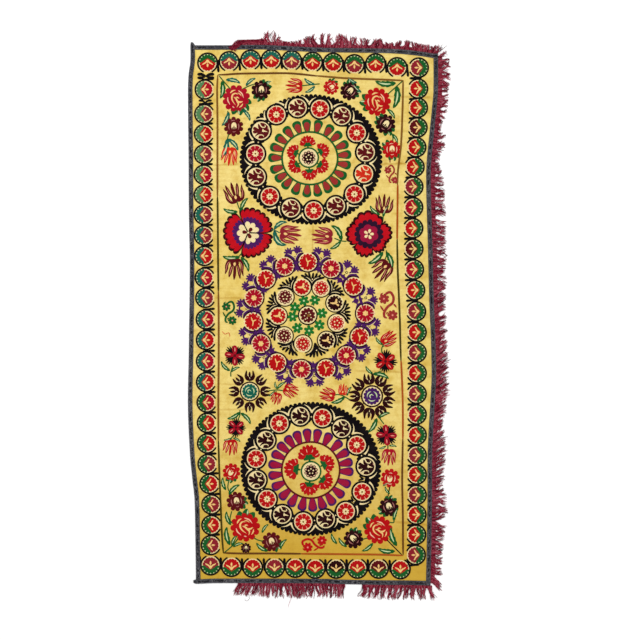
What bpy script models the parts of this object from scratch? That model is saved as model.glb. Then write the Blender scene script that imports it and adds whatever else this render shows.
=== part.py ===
# Suzani embroidered hanging laid flat: a yellow ground cloth, a dark braid binding and a red fringe.
# Metres, +Z up. The underside lies on z = 0, the worked face looks up and +Y runs to the top edge.
# The origin is the middle of the whole in plan, on the underside.

import math
import random
from collections import namedtuple

import bmesh
import bpy
from mathutils import Matrix, Vector

# Cloth and binding sizes
CLOTH_WIDTH = 0.817
CLOTH_LENGTH = 1.800
CLOTH_THICKNESS = 0.0014
SEWN_GAP = 0.0003
CLOTH_EDGE_GAP = 0.0010
BRAID_WIDTH = 0.015
BRAID_THICKNESS = 0.0010
BRAID_TURN = 0.0013
BRAID_TIP_ABOVE = 0.010
BRAID_END_BESIDE = 0.009
BRAID_STEP = 0.036
BUTT_GAP = 0.0012

# Fringe sizes
FRINGE_GAP = 0.0008
TAPE_WIDTH = 0.008
TAPE_THICKNESS = 0.0015
LOCK_PITCH = 0.0112
LOCK_ROOT_WIDTH = 0.0062
LOCK_MIDDLE_WIDTH = 0.0046
LOCK_MIDDLE = 0.55
LOCK_MIDDLE_HEIGHT = 0.0014
LOCK_TIP_HEIGHT = 0.0009
LOCK_TOP_SHARE = 0.62
LOCK_BEND = 0.012
LEAN_JITTER_DEG = 3.0
LENGTH_JITTER = 0.08

# Grid of the ground cloth
CLOTH_COLUMNS = 20
CLOTH_ROWS = 60
FLAT_RIM = 0.020
FADE_WIDTH = 0.025

MM = 0.001

# Each edge against the nominal rectangle, in millimetres from the middle of the cloth. along runs
# upwards on the sides and to the right on the top and bottom. out is how far the edge lies outside.
EdgeRow = namedtuple("EdgeRow", "along out")

LEFT_EDGE = [
    EdgeRow(-900, -23),
    EdgeRow(-750, -21),
    EdgeRow(-615, -18),
    EdgeRow(-550, -11),
    EdgeRow(-468, -3),
    EdgeRow(-300, 4),
    EdgeRow(-115, 1),
    EdgeRow(170, -2),
    EdgeRow(350, 1),
    EdgeRow(520, 2),
    EdgeRow(750, 4),
    EdgeRow(805, 2),
    EdgeRow(850, -4),
    EdgeRow(900, -4),
]
RIGHT_EDGE = [
    EdgeRow(-900, -10),
    EdgeRow(-750, -7),
    EdgeRow(-620, -5),
    EdgeRow(-450, -4),
    EdgeRow(-285, 5),
    EdgeRow(-200, 9),
    EdgeRow(-65, 6),
    EdgeRow(50, 1),
    EdgeRow(250, -4),
    EdgeRow(420, -9),
    EdgeRow(505, -8),
    EdgeRow(620, 3),
    EdgeRow(690, 10),
    EdgeRow(750, 15),
    EdgeRow(900, 15),
]
TOP_EDGE = [
    EdgeRow(-409, 3),
    EdgeRow(-285, 3),
    EdgeRow(-200, 4),
    EdgeRow(-135, 3),
    EdgeRow(-60, -1),
    EdgeRow(30, -5),
    EdgeRow(230, -8),
    EdgeRow(300, -11),
    EdgeRow(365, -18),
    EdgeRow(409, -25),
]
BOTTOM_EDGE = [
    EdgeRow(-409, -1),
    EdgeRow(-370, -2),
    EdgeRow(-320, -4),
    EdgeRow(50, -3),
    EdgeRow(85, -1),
    EdgeRow(250, 2),
    EdgeRow(300, 2),
    EdgeRow(409, 4),
]

# Soft ridges left in the cloth by its folding, each along a line from x0, y0 to x1, y1, in millimetres.
Crease = namedtuple("Crease", "x0 y0 x1 y1 height half_width")

CREASES = [
    Crease(-400, 742, 420, 720, 1.6, 40),
    Crease(-400, 503, 400, 507, 2.4, 34),
    Crease(-400, 60, -130, 52, 2.0, 32),
    Crease(120, -30, 410, -26, 1.8, 32),
    Crease(-170, -166, 415, -186, 2.4, 34),
    Crease(-400, -318, -170, -312, 1.8, 32),
    Crease(110, -300, 330, -420, 2.4, 42),
    Crease(-395, -402, -200, -405, 1.6, 32),
    Crease(190, -452, 410, -455, 2.2, 34),
    Crease(60, -668, 410, -700, 2.4, 40),
]

# Locks of each run of fringe: where on the edge, how long, and how far they lean, in millimetres and
# degrees. A positive lean turns a lock anticlockwise, seen from above.
LockRow = namedtuple("LockRow", "along length lean")

TOP_LOCKS = [
    LockRow(-232, 11, 14),
    LockRow(-165, 12, 6),
    LockRow(-148, 34, 22),
    LockRow(-136, 38, -2),
    LockRow(-122, 30, -18),
    LockRow(-100, 10, 0),
    LockRow(-45, 13, 8),
    LockRow(0, 32, 16),
    LockRow(40, 38, 4),
    LockRow(95, 37, -6),
    LockRow(140, 30, 12),
    LockRow(205, 24, -10),
    LockRow(232, 27, 4),
    LockRow(262, 12, 8),
    LockRow(305, 27, -8),
    LockRow(345, 20, -4),
    LockRow(380, 17, 2),
    LockRow(424, 26, -38),
]
RIGHT_LOCKS = [
    LockRow(-896, 44, -44),
    LockRow(-839, 32, -22),
    LockRow(-779, 31, -10),
    LockRow(-685, 42, 4),
    LockRow(-618, 42, 12),
    LockRow(-578, 28, 18),
    LockRow(-518, 42, 28),
    LockRow(-434, 42, 34),
    LockRow(-377, 27, 34),
    LockRow(-324, 40, 36),
    LockRow(-150, 39, 36),
    LockRow(-16, 34, 24),
    LockRow(152, 36, 4),
    LockRow(319, 40, -6),
    LockRow(459, 36, 6),
    LockRow(506, 20, 4),
    LockRow(587, 34, 8),
    LockRow(627, 14, 0),
    LockRow(680, 27, -8),
    LockRow(737, 27, 2),
    LockRow(794, 34, 4),
    LockRow(834, 32, 14),
    LockRow(868, 28, 42),
]
BOTTOM_LOCKS = [
    LockRow(-244, 34, -34),
    LockRow(-215, 36, -22),
    LockRow(-120, 40, 6),
    LockRow(-20, 41, -4),
    LockRow(60, 39, 10),
    LockRow(112, 38, 0),
    LockRow(174, 40, -4),
    LockRow(250, 42, -14),
    LockRow(330, 42, -6),
    LockRow(405, 42, 22),
]

# The runs of fringe trimming: their edge and where they start and end on it, in millimetres.
FringeRun = namedtuple("FringeRun", "name side start end locks")

# The end of the top fringe, turned down over the face of the cloth.
TURNED_END_AT = (-250, 901)
TURNED_END_BODY = (0.040, 0.009)
TURNED_END_LOCKS = [
    LockRow(-12, 22, -34),
    LockRow(-2, 26, -26),
    LockRow(8, 22, -12),
    LockRow(16, 15, 4),
]

COLOURS = {
    "ground": (0.78, 0.55, 0.13, 1.0),
    "braid": (0.045, 0.045, 0.045, 1.0),
    "fringe": (0.23, 0.022, 0.035, 1.0),
}


def clear_scene():
    for obj in list(bpy.data.objects):
        bpy.data.objects.remove(obj)


def make_material(name, roughness):
    material = bpy.data.materials.new(name)
    material.use_nodes = True
    shader = material.node_tree.nodes["Principled BSDF"]
    shader.inputs["Base Color"].default_value = COLOURS[name]
    shader.inputs["Roughness"].default_value = roughness
    shader.inputs["Metallic"].default_value = 0.0
    return material


def smooth_between(rows, column, along):
    """Cubic through a table's rows, read at a place along it."""
    places = [row.along for row in rows]
    values = [getattr(row, column) for row in rows]
    along = min(max(along, places[0]), places[-1])
    k = max(i for i in range(len(rows) - 1) if places[i] <= along)

    def slope(i):
        before, after = max(i - 1, 0), min(i + 1, len(rows) - 1)
        return (values[after] - values[before]) / (places[after] - places[before])

    span = places[k + 1] - places[k]
    t = (along - places[k]) / span
    return (
        values[k] * (1 + 2 * t) * (1 - t) ** 2
        + values[k + 1] * t * t * (3 - 2 * t)
        + slope(k) * span * t * (1 - t) ** 2
        - slope(k + 1) * span * t * t * (1 - t)
    )


def edge_point(side, along):
    """Point of the finished cloth's outline on one side, at a place along that side in metres."""
    table = {"left": LEFT_EDGE, "right": RIGHT_EDGE, "top": TOP_EDGE, "bottom": BOTTOM_EDGE}[side]
    out = smooth_between(table, "out", along / MM) * MM
    if side == "left":
        return Vector((-CLOTH_WIDTH / 2 - out, along, 0))
    if side == "right":
        return Vector((CLOTH_WIDTH / 2 + out, along, 0))
    if side == "top":
        return Vector((along, CLOTH_LENGTH / 2 + out, 0))
    return Vector((along, -CLOTH_LENGTH / 2 - out, 0))


def outward(side, along):
    """Unit normal of the outline, pointing away from the cloth."""
    step = 0.004
    tangent = edge_point(side, along + step) - edge_point(side, along - step)
    normal = Vector((tangent.y, -tangent.x, 0)).normalized()
    return normal if side in ("right", "bottom") else -normal


def corner(side_x, side_y):
    """Where an upright side meets the top or the bottom."""
    y = CLOTH_LENGTH / 2 if side_y == "top" else -CLOTH_LENGTH / 2
    for _ in range(4):
        x = edge_point(side_x, y).x
        y = edge_point(side_y, x).y
    return Vector((x, y, 0))


def cloth_point(u, v):
    """Point of the flat cloth, u from left to right and v from bottom to top, both from 0 to 1."""
    inset = BRAID_TURN + CLOTH_EDGE_GAP
    x = (u - 0.5) * CLOTH_WIDTH
    for _ in range(4):
        bottom, top = edge_point("bottom", x).y + inset, edge_point("top", x).y - inset
        y = bottom * (1 - v) + top * v
        left, right = edge_point("left", y).x + inset, edge_point("right", y).x - inset
        x = left * (1 - u) + right * u
    return x, y


def ridge_height(x, y, u, v):
    """Height of the folding creases, in metres. It fades out towards the bound rim."""
    highest = 0.0
    for crease in CREASES:
        start = Vector((crease.x0, crease.y0)) * MM
        end = Vector((crease.x1, crease.y1)) * MM
        line = end - start
        t = (Vector((x, y)) - start).dot(line) / line.length_squared
        nearest = start + line * min(max(t, 0), 1)
        share = (Vector((x, y)) - nearest).length / (crease.half_width * MM)
        if share < 1:
            highest = max(highest, crease.height * MM * (1 - share * share) ** 2)
    rim = min(u * CLOTH_WIDTH, (1 - u) * CLOTH_WIDTH, v * CLOTH_LENGTH, (1 - v) * CLOTH_LENGTH)
    fade = min(max((rim - FLAT_RIM) / FADE_WIDTH, 0), 1)
    return highest * fade * fade * (3 - 2 * fade)


def grid_places(count, length):
    """Grid lines as shares of a side: one at each rim, one inside the braid, the rest evenly spaced."""
    rim = FLAT_RIM / length
    return [0.0] + [rim + (1 - 2 * rim) * i / (count - 2) for i in range(count - 1)] + [1.0]


def row_places():
    """The cloth's grid rows, with the nearest one moved onto each crease."""
    places = grid_places(CLOTH_ROWS, CLOTH_LENGTH)
    for crease in CREASES:
        middle = (crease.y0 + crease.y1) / 2 * MM / CLOTH_LENGTH + 0.5
        nearest = min(range(2, CLOTH_ROWS - 1), key=lambda j: abs(places[j] - middle))
        places[nearest] = middle
    return sorted(places)


def add_object(name, data, material, collection):
    obj = bpy.data.objects.new(name, data)
    data.materials.append(material)
    collection.objects.link(obj)
    return obj


def make_ground_cloth(material, collection):
    """The panel: one grid bent to the outline and the creases, thickened upwards."""
    grid = bmesh.new()
    bmesh.ops.create_grid(grid, x_segments=CLOTH_COLUMNS, y_segments=CLOTH_ROWS, size=1.0)
    columns, rows = grid_places(CLOTH_COLUMNS, CLOTH_WIDTH), row_places()
    for vertex in grid.verts:
        u = columns[round((vertex.co.x + 1) / 2 * CLOTH_COLUMNS)]
        v = rows[round((vertex.co.y + 1) / 2 * CLOTH_ROWS)]
        x, y = cloth_point(u, v)
        vertex.co = (x, y, ridge_height(x, y, u, v))
    mesh = bpy.data.meshes.new("ground_cloth")
    grid.to_mesh(mesh)
    grid.free()
    cloth = add_object("ground_cloth", mesh, material, collection)
    thicken = cloth.modifiers.new("thickness", "SOLIDIFY")
    thicken.thickness = CLOTH_THICKNESS
    thicken.offset = 1.0


def braid_section():
    """Section of the braid as distance outwards and height: a leg on the face and a turn at the edge."""
    leg_low = CLOTH_THICKNESS + SEWN_GAP
    leg_high = leg_low + BRAID_THICKNESS
    soft = BRAID_THICKNESS * 0.7
    return [
        (0, 0),
        (0, leg_high - soft),
        (-soft * 0.3, leg_high - soft * 0.3),
        (-soft, leg_high),
        (-BRAID_WIDTH + soft, leg_high),
        (-BRAID_WIDTH, leg_high - soft),
        (-BRAID_WIDTH, leg_low),
        (-BRAID_TURN, leg_low),
        (-BRAID_TURN, 0),
    ]


def close_and_add(name, body, material, collection):
    """Turns every face outwards and puts the finished solid in the scene."""
    bmesh.ops.recalc_face_normals(body, faces=body.faces)
    mesh = bpy.data.meshes.new(name)
    body.to_mesh(mesh)
    body.free()
    return add_object(name, mesh, material, collection)


def skin_between(body, first, second):
    """Faces between two closed rings that have the same number of points."""
    for i in range(len(first)):
        j = (i + 1) % len(first)
        body.faces.new((first[i], first[j], second[j], second[i]))


def make_braid(name, places, material, collection):
    """One cut length of braid, swept along places: a point, its outward direction and a width share."""
    body = bmesh.new()
    rings = []
    for point, normal, share in places:
        ring = []
        for out, height in braid_section():
            ring.append(body.verts.new(point + normal * (out * share) + Vector((0, 0, height))))
        rings.append(ring)
    for first, second in zip(rings, rings[1:]):
        skin_between(body, first, second)
    body.faces.new(rings[0])
    body.faces.new(rings[-1])
    close_and_add(name, body, material, collection)


def along_edge(side, start, end):
    """Places on the outline from start to end, both in metres, at an even step."""
    count = max(2, round(abs(end - start) / BRAID_STEP))
    steps = [start + (end - start) * i / count for i in range(count + 1)]
    return [(edge_point(side, along), outward(side, along), 1.0) for along in steps]


def make_binding(material, collection):
    """Four lengths of braid, each butted against the next at a corner."""
    butt = BRAID_WIDTH + BUTT_GAP
    top_left, top_right = corner("left", "top"), corner("right", "top")
    low_left, low_right = corner("left", "bottom"), corner("right", "bottom")

    tip = (top_left + Vector((0.0015, BRAID_TIP_ABOVE, 0)), Vector((-1, 0, 0)), 0.45)
    left = [tip, *along_edge("left", top_left.y, low_left.y + butt)]
    make_braid("binding_left", left, material, collection)
    top = along_edge("top", top_left.x + butt, top_right.x)
    make_braid("binding_top", top, material, collection)
    right = along_edge("right", top_right.y - butt, low_right.y)
    make_braid("binding_right", right, material, collection)
    loose_end = (low_left + Vector((-BRAID_END_BESIDE, 0.004, 0)), Vector((0, -1, 0)), 0.5)
    bottom = [*along_edge("bottom", low_right.x - butt, low_left.x), loose_end]
    make_braid("binding_bottom", bottom, material, collection)


def turned(direction, degrees):
    """A level direction turned anticlockwise, seen from above."""
    angle = math.radians(degrees)
    x, y = direction.x, direction.y
    return Vector((x * math.cos(angle) - y * math.sin(angle), x * math.sin(angle) + y * math.cos(angle), 0))


def lock_outline(root, direction, length, bend):
    """Free points of one lock from side to side, each with its top point moved in and lowered."""
    across = Vector((-direction.y, direction.x, 0))
    middle = root + direction * (length * LOCK_MIDDLE) + across * bend
    tip = root + direction * length - across * bend
    half_root, half_middle = LOCK_ROOT_WIDTH / 2, LOCK_MIDDLE_WIDTH / 2
    up = Vector((0, 0, 1))
    middle_high = middle + up * LOCK_MIDDLE_HEIGHT
    tip_high = tip - direction * (length * 0.04) + up * LOCK_TIP_HEIGHT
    root_high = root + up * TAPE_THICKNESS
    return [
        (root - across * half_root, root_high - across * (half_root * LOCK_TOP_SHARE)),
        (middle - across * half_middle, middle_high - across * (half_middle * LOCK_TOP_SHARE)),
        (tip, tip_high),
        (middle + across * half_middle, middle_high + across * (half_middle * LOCK_TOP_SHARE)),
        (root + across * half_root, root_high + across * (half_root * LOCK_TOP_SHARE)),
    ]


def make_flat_piece(name, places, lift, material, collection):
    """A solid between the outline of its underside and the outline of its top."""
    body = bmesh.new()
    rise = Vector((0, 0, lift))
    low = [body.verts.new(under + rise) for under, _ in places]
    high = [body.verts.new(over + rise) for _, over in places]
    skin_between(body, low, high)
    body.faces.new(low)
    body.faces.new(high)
    close_and_add(name, body, material, collection)


def make_fringe(run, material, collection, chance):
    """A run of trimming: a narrow tape against the braid, with its locks rooted in the tape's far edge."""
    up = Vector((0, 0, TAPE_THICKNESS))
    start, end = run.start * MM, run.end * MM
    count = round(abs(end - start) / LOCK_PITCH)
    inner, outer = [], []

    def add_tape_end(along):
        edge, normal = edge_point(run.side, along), outward(run.side, along)
        near, far = edge + normal * FRINGE_GAP, edge + normal * (FRINGE_GAP + TAPE_WIDTH)
        inner.append((near, near + up))
        outer.append((far, far + up))

    add_tape_end(start)
    for i in range(count):
        along = start + (end - start) * (i + 0.5) / count
        normal = outward(run.side, along)
        lean = smooth_between(run.locks, "lean", along / MM) + chance.uniform(-1, 1) * LEAN_JITTER_DEG
        length = smooth_between(run.locks, "length", along / MM) * MM
        length *= 1 + chance.uniform(-1, 1) * LENGTH_JITTER
        root = edge_point(run.side, along) + normal * (FRINGE_GAP + TAPE_WIDTH)
        bend = chance.uniform(-1, 1) * length * LOCK_BEND
        lock = lock_outline(root, turned(normal, lean), length, bend)
        outer.extend(lock if run.side in ("right", "bottom") else lock[::-1])
        if i % 4 == 2:
            near = edge_point(run.side, along) + normal * FRINGE_GAP
            inner.append((near, near + up))
    add_tape_end(end)
    make_flat_piece(run.name, inner + outer[::-1], 0, material, collection)


def make_turned_end(material, collection):
    """The top fringe's end, folded down over the braid and lying on the face."""
    width, depth = TURNED_END_BODY
    up = Vector((0, 0, TAPE_THICKNESS))
    middle = Vector((TURNED_END_AT[0] * MM, TURNED_END_AT[1] * MM, 0))
    upper = [middle + Vector((x, depth / 2, 0)) for x in (-width * 0.42, width * 0.45)]
    places = [(place, place + up) for place in upper]
    for row in reversed(TURNED_END_LOCKS):
        root = middle + Vector((row.along * MM, -depth / 2, 0))
        places += lock_outline(root, turned(Vector((0, -1, 0)), row.lean), row.length * MM, 0)[::-1]
    lift = CLOTH_THICKNESS + BRAID_THICKNESS + 2 * SEWN_GAP
    make_flat_piece("fringe_turned_end", places, lift, material, collection)


def centre_on_origin(objects):
    """Moves the finished pieces so that the middle of the whole, in plan, is the origin."""
    places = [vertex.co for obj in objects for vertex in obj.data.vertices]
    middle = [(min(p[axis] for p in places) + max(p[axis] for p in places)) / 2 for axis in (0, 1)]
    shift = Matrix.Translation((-middle[0], -middle[1], 0))
    for obj in objects:
        obj.data.transform(shift)


def main():
    clear_scene()
    parts = bpy.data.collections.new("suzani")
    bpy.context.scene.collection.children.link(parts)
    ground = make_material("ground", 0.6)
    braid = make_material("braid", 0.85)
    fringe = make_material("fringe", 0.8)

    make_ground_cloth(ground, parts)
    make_binding(braid, parts)
    chance = random.Random(7)
    for run in (
        FringeRun("fringe_top", "top", -236, 424, TOP_LOCKS),
        FringeRun("fringe_right", "right", -896, 868, RIGHT_LOCKS),
        FringeRun("fringe_bottom_long", "bottom", -246, 113, BOTTOM_LOCKS),
        FringeRun("fringe_bottom_short", "bottom", 170, 404, BOTTOM_LOCKS),
    ):
        make_fringe(run, fringe, parts, chance)
    make_turned_end(fringe, parts)
    centre_on_origin(parts.objects)


main()
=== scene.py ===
import math
import random

import bmesh
import bpy
import numpy as np
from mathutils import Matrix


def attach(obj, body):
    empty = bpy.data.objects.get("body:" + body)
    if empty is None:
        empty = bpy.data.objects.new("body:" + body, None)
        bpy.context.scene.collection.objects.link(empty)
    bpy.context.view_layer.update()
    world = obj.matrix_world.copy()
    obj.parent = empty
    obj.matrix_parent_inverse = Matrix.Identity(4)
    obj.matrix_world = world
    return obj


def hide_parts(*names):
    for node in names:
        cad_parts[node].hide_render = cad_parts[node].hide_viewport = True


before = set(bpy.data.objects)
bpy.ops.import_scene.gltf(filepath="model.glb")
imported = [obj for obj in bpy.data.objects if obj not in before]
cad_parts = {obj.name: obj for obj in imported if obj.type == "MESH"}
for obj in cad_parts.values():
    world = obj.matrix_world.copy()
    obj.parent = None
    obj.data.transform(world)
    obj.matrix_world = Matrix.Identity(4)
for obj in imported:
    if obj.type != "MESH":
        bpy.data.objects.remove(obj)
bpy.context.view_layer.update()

# Suzani laid flat, seen straight from above. Tables are in millimetres from the middle of the cloth.
mm = 0.001
clothMiddle = (-0.02743, 0.0046)  # where that middle lies in the frame

threads = {  # thread colours, as seen in daylight
    "black": (12, 5, 8),
    "darkMaroon": (42, 2, 6),
    "maroon": (92, 10, 17),
    "dusty": (146, 34, 44),
    "red": (188, 12, 16),
    "crimson": (172, 8, 34),
    "orange": (214, 46, 22),
    "green": (22, 92, 38),
    "teal": (22, 98, 80),
    "sage": (84, 132, 84),
    "purple": (76, 26, 94),
    "cream": (252, 227, 168),
    "straw": (250, 204, 128),
    "pale": (206, 222, 168),
    "blush": (240, 150, 128),
    "rosy": (248, 196, 160),
    "dustyPink": (176, 112, 104),
    "brown": (104, 62, 20),
    "ochre": (132, 88, 30),
    "rust": (176, 84, 24),
    "olive": (72, 60, 8),
    "brick": (160, 48, 44),
    "scarlet": (198, 10, 26),
    "violet": (70, 28, 96),
    "aubergine": (44, 14, 42),
    "magenta": (160, 18, 58),
    "grass": (26, 116, 42),
}
stitching = {
    "relief": 0.9,  # how far a worked line stands up, mm
    "layerRise": 0.22,  # how far a line worked over another stands above it, mm
    "rowWidth": 2.1,  # width of one row of chain stitch, mm
    "stitchLength": 3.4,  # length of one chain stitch, mm
    "sampleStep": 3.0,  # spacing of the points along a worked line, mm
}
cloth = {
    "width": 817.0,
    "length": 1800.0,
    "thickness": 1.4,  # top of the cloth above the floor
    "sheet": 0.93,  # thickness of the sheet that is built
    "columns": 128,
    "rows": 280,
    "rimInset": 2.3,  # from the outline to the sheet's edge
    "flatRim": 20.0,  # flat as far as this from the outline
    "fade": 25.0,  # the ridges rise over this far
    "puckerHeight": 0.16,
}


# Outline of the finished cloth: place along the side, distance outside the nominal rectangle
edges = {
    "left": [(-900, -23), (-750, -21), (-615, -18), (-550, -11), (-468, -3), (-300, 4), (-115, 1), (170, -2),
             (350, 1), (520, 2), (750, 4), (805, 2), (850, -4), (900, -4)],
    "right": [(-900, -10), (-750, -7), (-620, -5), (-450, -4), (-285, 5), (-200, 9), (-65, 6), (50, 1),
              (250, -4), (420, -9), (505, -8), (620, 3), (690, 10), (750, 15), (900, 15)],
    "top": [(-409, 3), (-285, 3), (-200, 4), (-135, 3), (-60, -1), (30, -5), (230, -8), (300, -11),
            (365, -18), (409, -25)],
    "bottom": [(-409, -1), (-370, -2), (-320, -4), (50, -3), (85, -1), (250, 2), (300, 2), (409, 4)],
}
# Folding creases: start, end, height and half width of the soft ridge
creases = [
    (-400, 742, 420, 720, 1.6, 40),
    (-400, 503, 400, 507, 2.4, 34),
    (-400, 60, -130, 52, 2.0, 32),
    (120, -30, 410, -26, 1.8, 32),
    (-170, -166, 415, -186, 2.4, 34),
    (-400, -318, -170, -312, 1.8, 32),
    (110, -300, 330, -420, 2.4, 42),
    (-395, -402, -200, -405, 1.6, 32),
    (190, -452, 410, -455, 2.2, 34),
    (60, -668, 410, -700, 2.4, 40),
]
# Sharper fold lines: start, end, strength, half width. Each is a dent in the cloth and also painted shade, a
# darker colour along its line
foldLines = [
    (-330, 503, -250, 503, 0.5, 5),
    (215, 505, 400, 508, 0.6, 6),
    (230, 733, 400, 728, 0.5, 6),
    (-320, 58, -215, 56, 0.5, 5),
    (5, 300, 5, 205, 0.5, 5),
    (150, -186, 300, -189, 0.5, 6),
    (150, -305, 260, -385, 0.5, 8),
    (-300, -230, -240, -232, 0.4, 5),
    (-320, -316, -215, -314, 0.4, 5),
    (210, -453, 290, -455, 0.5, 6),
    (280, -690, 395, -702, 0.6, 8),
]


def tableCurve(rows, along):
    along = np.clip(np.asarray(along, float), rows[0][0], rows[-1][0])
    places = np.array([row[0] for row in rows], float)
    values = np.array([row[1] for row in rows], float)
    before = np.maximum(np.arange(len(rows)) - 1, 0)
    after = np.minimum(np.arange(len(rows)) + 1, len(rows) - 1)
    slopes = (values[after] - values[before]) / (places[after] - places[before])
    k = np.clip(np.searchsorted(places, along, side="right") - 1, 0, len(rows) - 2)
    span = places[k + 1] - places[k]
    t = (along - places[k]) / span
    return (values[k] * (1 + 2 * t) * (1 - t) ** 2 + values[k + 1] * t * t * (3 - 2 * t)
            + slopes[k] * span * t * (1 - t) ** 2 - slopes[k + 1] * span * t * t * (1 - t))


def edgePoint(side, along):  # outline in mm; along is y on the upright sides and x on the others
    out = tableCurve(edges[side], along)
    along = np.asarray(along, float)
    if side in ("left", "right"):
        x = cloth["width"] / 2 + out
        return (-x if side == "left" else x), along
    y = cloth["length"] / 2 + out
    return along, (y if side == "top" else -y)


def edgeNormal(side, along):
    x0, y0 = edgePoint(side, along - 4.0)
    x1, y1 = edgePoint(side, along + 4.0)
    size = np.hypot(x1 - x0, y1 - y0)
    nx, ny = (y1 - y0) / size, (x0 - x1) / size
    return (nx, ny) if side in ("right", "bottom") else (-nx, -ny)


def nearLine(x, y, x0, y0, x1, y1):  # distance from a crease's line
    dx, dy = x1 - x0, y1 - y0
    t = np.clip(((x - x0) * dx + (y - y0) * dy) / (dx * dx + dy * dy), 0, 1)
    return np.hypot(x - x0 - dx * t, y - y0 - dy * t)


def foldMark(x, y):  # 1 on a sharp fold line, 0 away from it
    mark = np.zeros_like(x)
    for x0, y0, x1, y1, depth, half in foldLines:
        mark = np.maximum(mark, np.clip(1 - nearLine(x, y, x0, y0, x1, y1) / half, 0, 1) * depth)
    return mark


def clothHeight(x, y):  # top of the cloth in mm, from mm
    ridge = np.zeros_like(x)
    for x0, y0, x1, y1, height, half in creases:
        share = np.clip(nearLine(x, y, x0, y0, x1, y1) / half, 0, 1)
        ridge = np.maximum(ridge, height * (1 - share * share) ** 2)
    left, right = edgePoint("left", y)[0], edgePoint("right", y)[0]
    bottom, top = edgePoint("bottom", x)[1], edgePoint("top", x)[1]
    rim = np.minimum(np.minimum(x - left, right - x), np.minimum(y - bottom, top - y))
    fade = np.clip((rim - cloth["flatRim"]) / cloth["fade"], 0, 1)
    fade = fade * fade * (3 - 2 * fade)
    pucker = (np.sin(x / 13.0 + 1.7 * np.sin(y / 41.0)) * np.sin(y / 17.0 + 1.3 * np.sin(x / 37.0))
              + 0.6 * np.sin(x / 31.0 - y / 23.0))
    return cloth["thickness"] + (ridge + cloth["puckerHeight"] * pucker - 0.8 * foldMark(x, y)) * fade


# Pieces are gathered as plain lists of points and quads, then made into one mesh each
def newWork(name):
    return {"name": name, "points": [], "quads": [], "stitch": [], "thread": [], "count": 0, "threads": []}


def addGrid(work, x, y, z, u, v, thread):
    rows, columns = x.shape
    base = work["count"]
    index = base + np.arange(rows * columns).reshape(rows, columns)
    quads = np.stack([index[:-1, :-1], index[:-1, 1:], index[1:, 1:], index[1:, :-1]], axis=-1).reshape(-1, 4)
    work["points"].append(np.stack([x, y, z], axis=-1).reshape(-1, 3))
    work["stitch"].append(np.stack([u, v], axis=-1).reshape(-1, 2))
    work["quads"].append(quads)
    if thread not in work["threads"]:
        work["threads"].append(thread)
    work["thread"].append(np.full(len(quads), work["threads"].index(thread)))
    work["count"] += rows * columns


def addWorked(work, x, y, lift, u, v, thread, layer):  # a patch that lies on the cloth
    z = clothHeight(x, y) + lift * stitching["relief"] + layer * stitching["layerRise"]
    addGrid(work, x, y, z, u, v, thread)


def makePiece(work, materials):
    points = np.concatenate(work["points"]) * mm
    points[:, 0] += clothMiddle[0]
    points[:, 1] += clothMiddle[1]
    quads = np.concatenate(work["quads"])
    a, b, c = (points[quads[:, k]] for k in (0, 1, 3))
    flipped = np.cross(b - a, c - a)[:, 2] < 0
    if work.get("faceUp", True):
        quads[flipped] = quads[flipped][:, ::-1]
    mesh = bpy.data.meshes.new(work["name"])
    mesh.from_pydata(points.tolist(), [], quads.tolist())
    layer = mesh.uv_layers.new(name="stitch")
    stitch = np.concatenate(work["stitch"]).astype(np.float32)
    layer.data.foreach_set("uv", stitch[quads.reshape(-1)].reshape(-1))
    for thread in work["threads"]:
        mesh.materials.append(materials[thread])
    mesh.polygons.foreach_set("material_index", np.concatenate(work["thread"]).astype(np.int32))
    mesh.polygons.foreach_set("use_smooth", np.ones(len(quads), bool))
    mesh.update()
    piece = bpy.data.objects.new(work["name"], mesh)
    bpy.context.scene.collection.objects.link(piece)
    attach(piece, "root")
    print(work["name"], len(quads) * 2, "triangles")
    return piece


# Half widths along a worked line, from root to tip
def drop(t):  # narrow root, round tip
    root = 0.34 + 0.66 * np.sin(np.pi / 2 * np.clip(t / 0.66, 0, 1))
    return np.where(t < 0.66, root, np.sqrt(np.clip(1 - ((t - 0.66) / 0.34) ** 2, 0, 1)))


def leaf(t):
    return np.sin(np.pi * np.clip(t, 0, 1) ** 0.85) ** 0.8


def band(t):
    return np.sqrt(np.clip(1 - np.abs(2 * t - 1) ** 10, 0.02, 1))


def wedge(t):  # widest at the root, sharp at the tip
    return np.clip(1 - t, 0, 1) ** 0.7


def serrated(t):
    return leaf(t) * (0.8 + 0.3 * ((t * 4.5) % 1.0))


def bladed(t):  # petal with a long sharp tip
    return np.where(t < 0.5, 0.6 + 0.4 * np.sin(np.pi / 2 * np.clip(t / 0.5, 0, 1)),
                    np.clip(1 - (t - 0.5) / 0.5, 0, 1) ** 0.62)


def tipped(t):  # full width for most of its length, then a sharp tip
    return np.where(t < 0.66, 0.7 + 0.3 * np.sin(np.pi / 2 * np.clip(t / 0.5, 0, 1)),
                    np.clip(1 - (t - 0.66) / 0.34, 0, 1) ** 0.8)


def blunt(t):  # a little narrower towards a blunt tip
    return (1.0 - 0.38 * t) * np.sqrt(np.clip(1 - np.abs(2 * t - 1) ** 8, 0.02, 1))


def arch(t):  # even width with a round tip
    return np.where(t < 0.5, 1.0, np.sqrt(np.clip(1 - ((t - 0.5) / 0.5) ** 2, 0, 1)))


def fullDrop(t):  # broad drop with a narrow root
    return np.where(t < 0.7, 0.46 + 0.54 * np.clip(t / 0.7, 0, 1) ** 0.85,
                    np.sqrt(np.clip(1 - np.clip((t - 0.7) / 0.3, 0, 1) ** 2.6, 0, 1)))


def clubbed(t):  # thin root, round swelling at the end
    swelling = 0.3 + 0.7 * np.clip(t / 0.75, 0, 1) ** 1.6
    return swelling * np.sqrt(np.clip(1 - np.clip((t - 0.8) / 0.2, 0, 1) ** 2, 0.02, 1))


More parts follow.
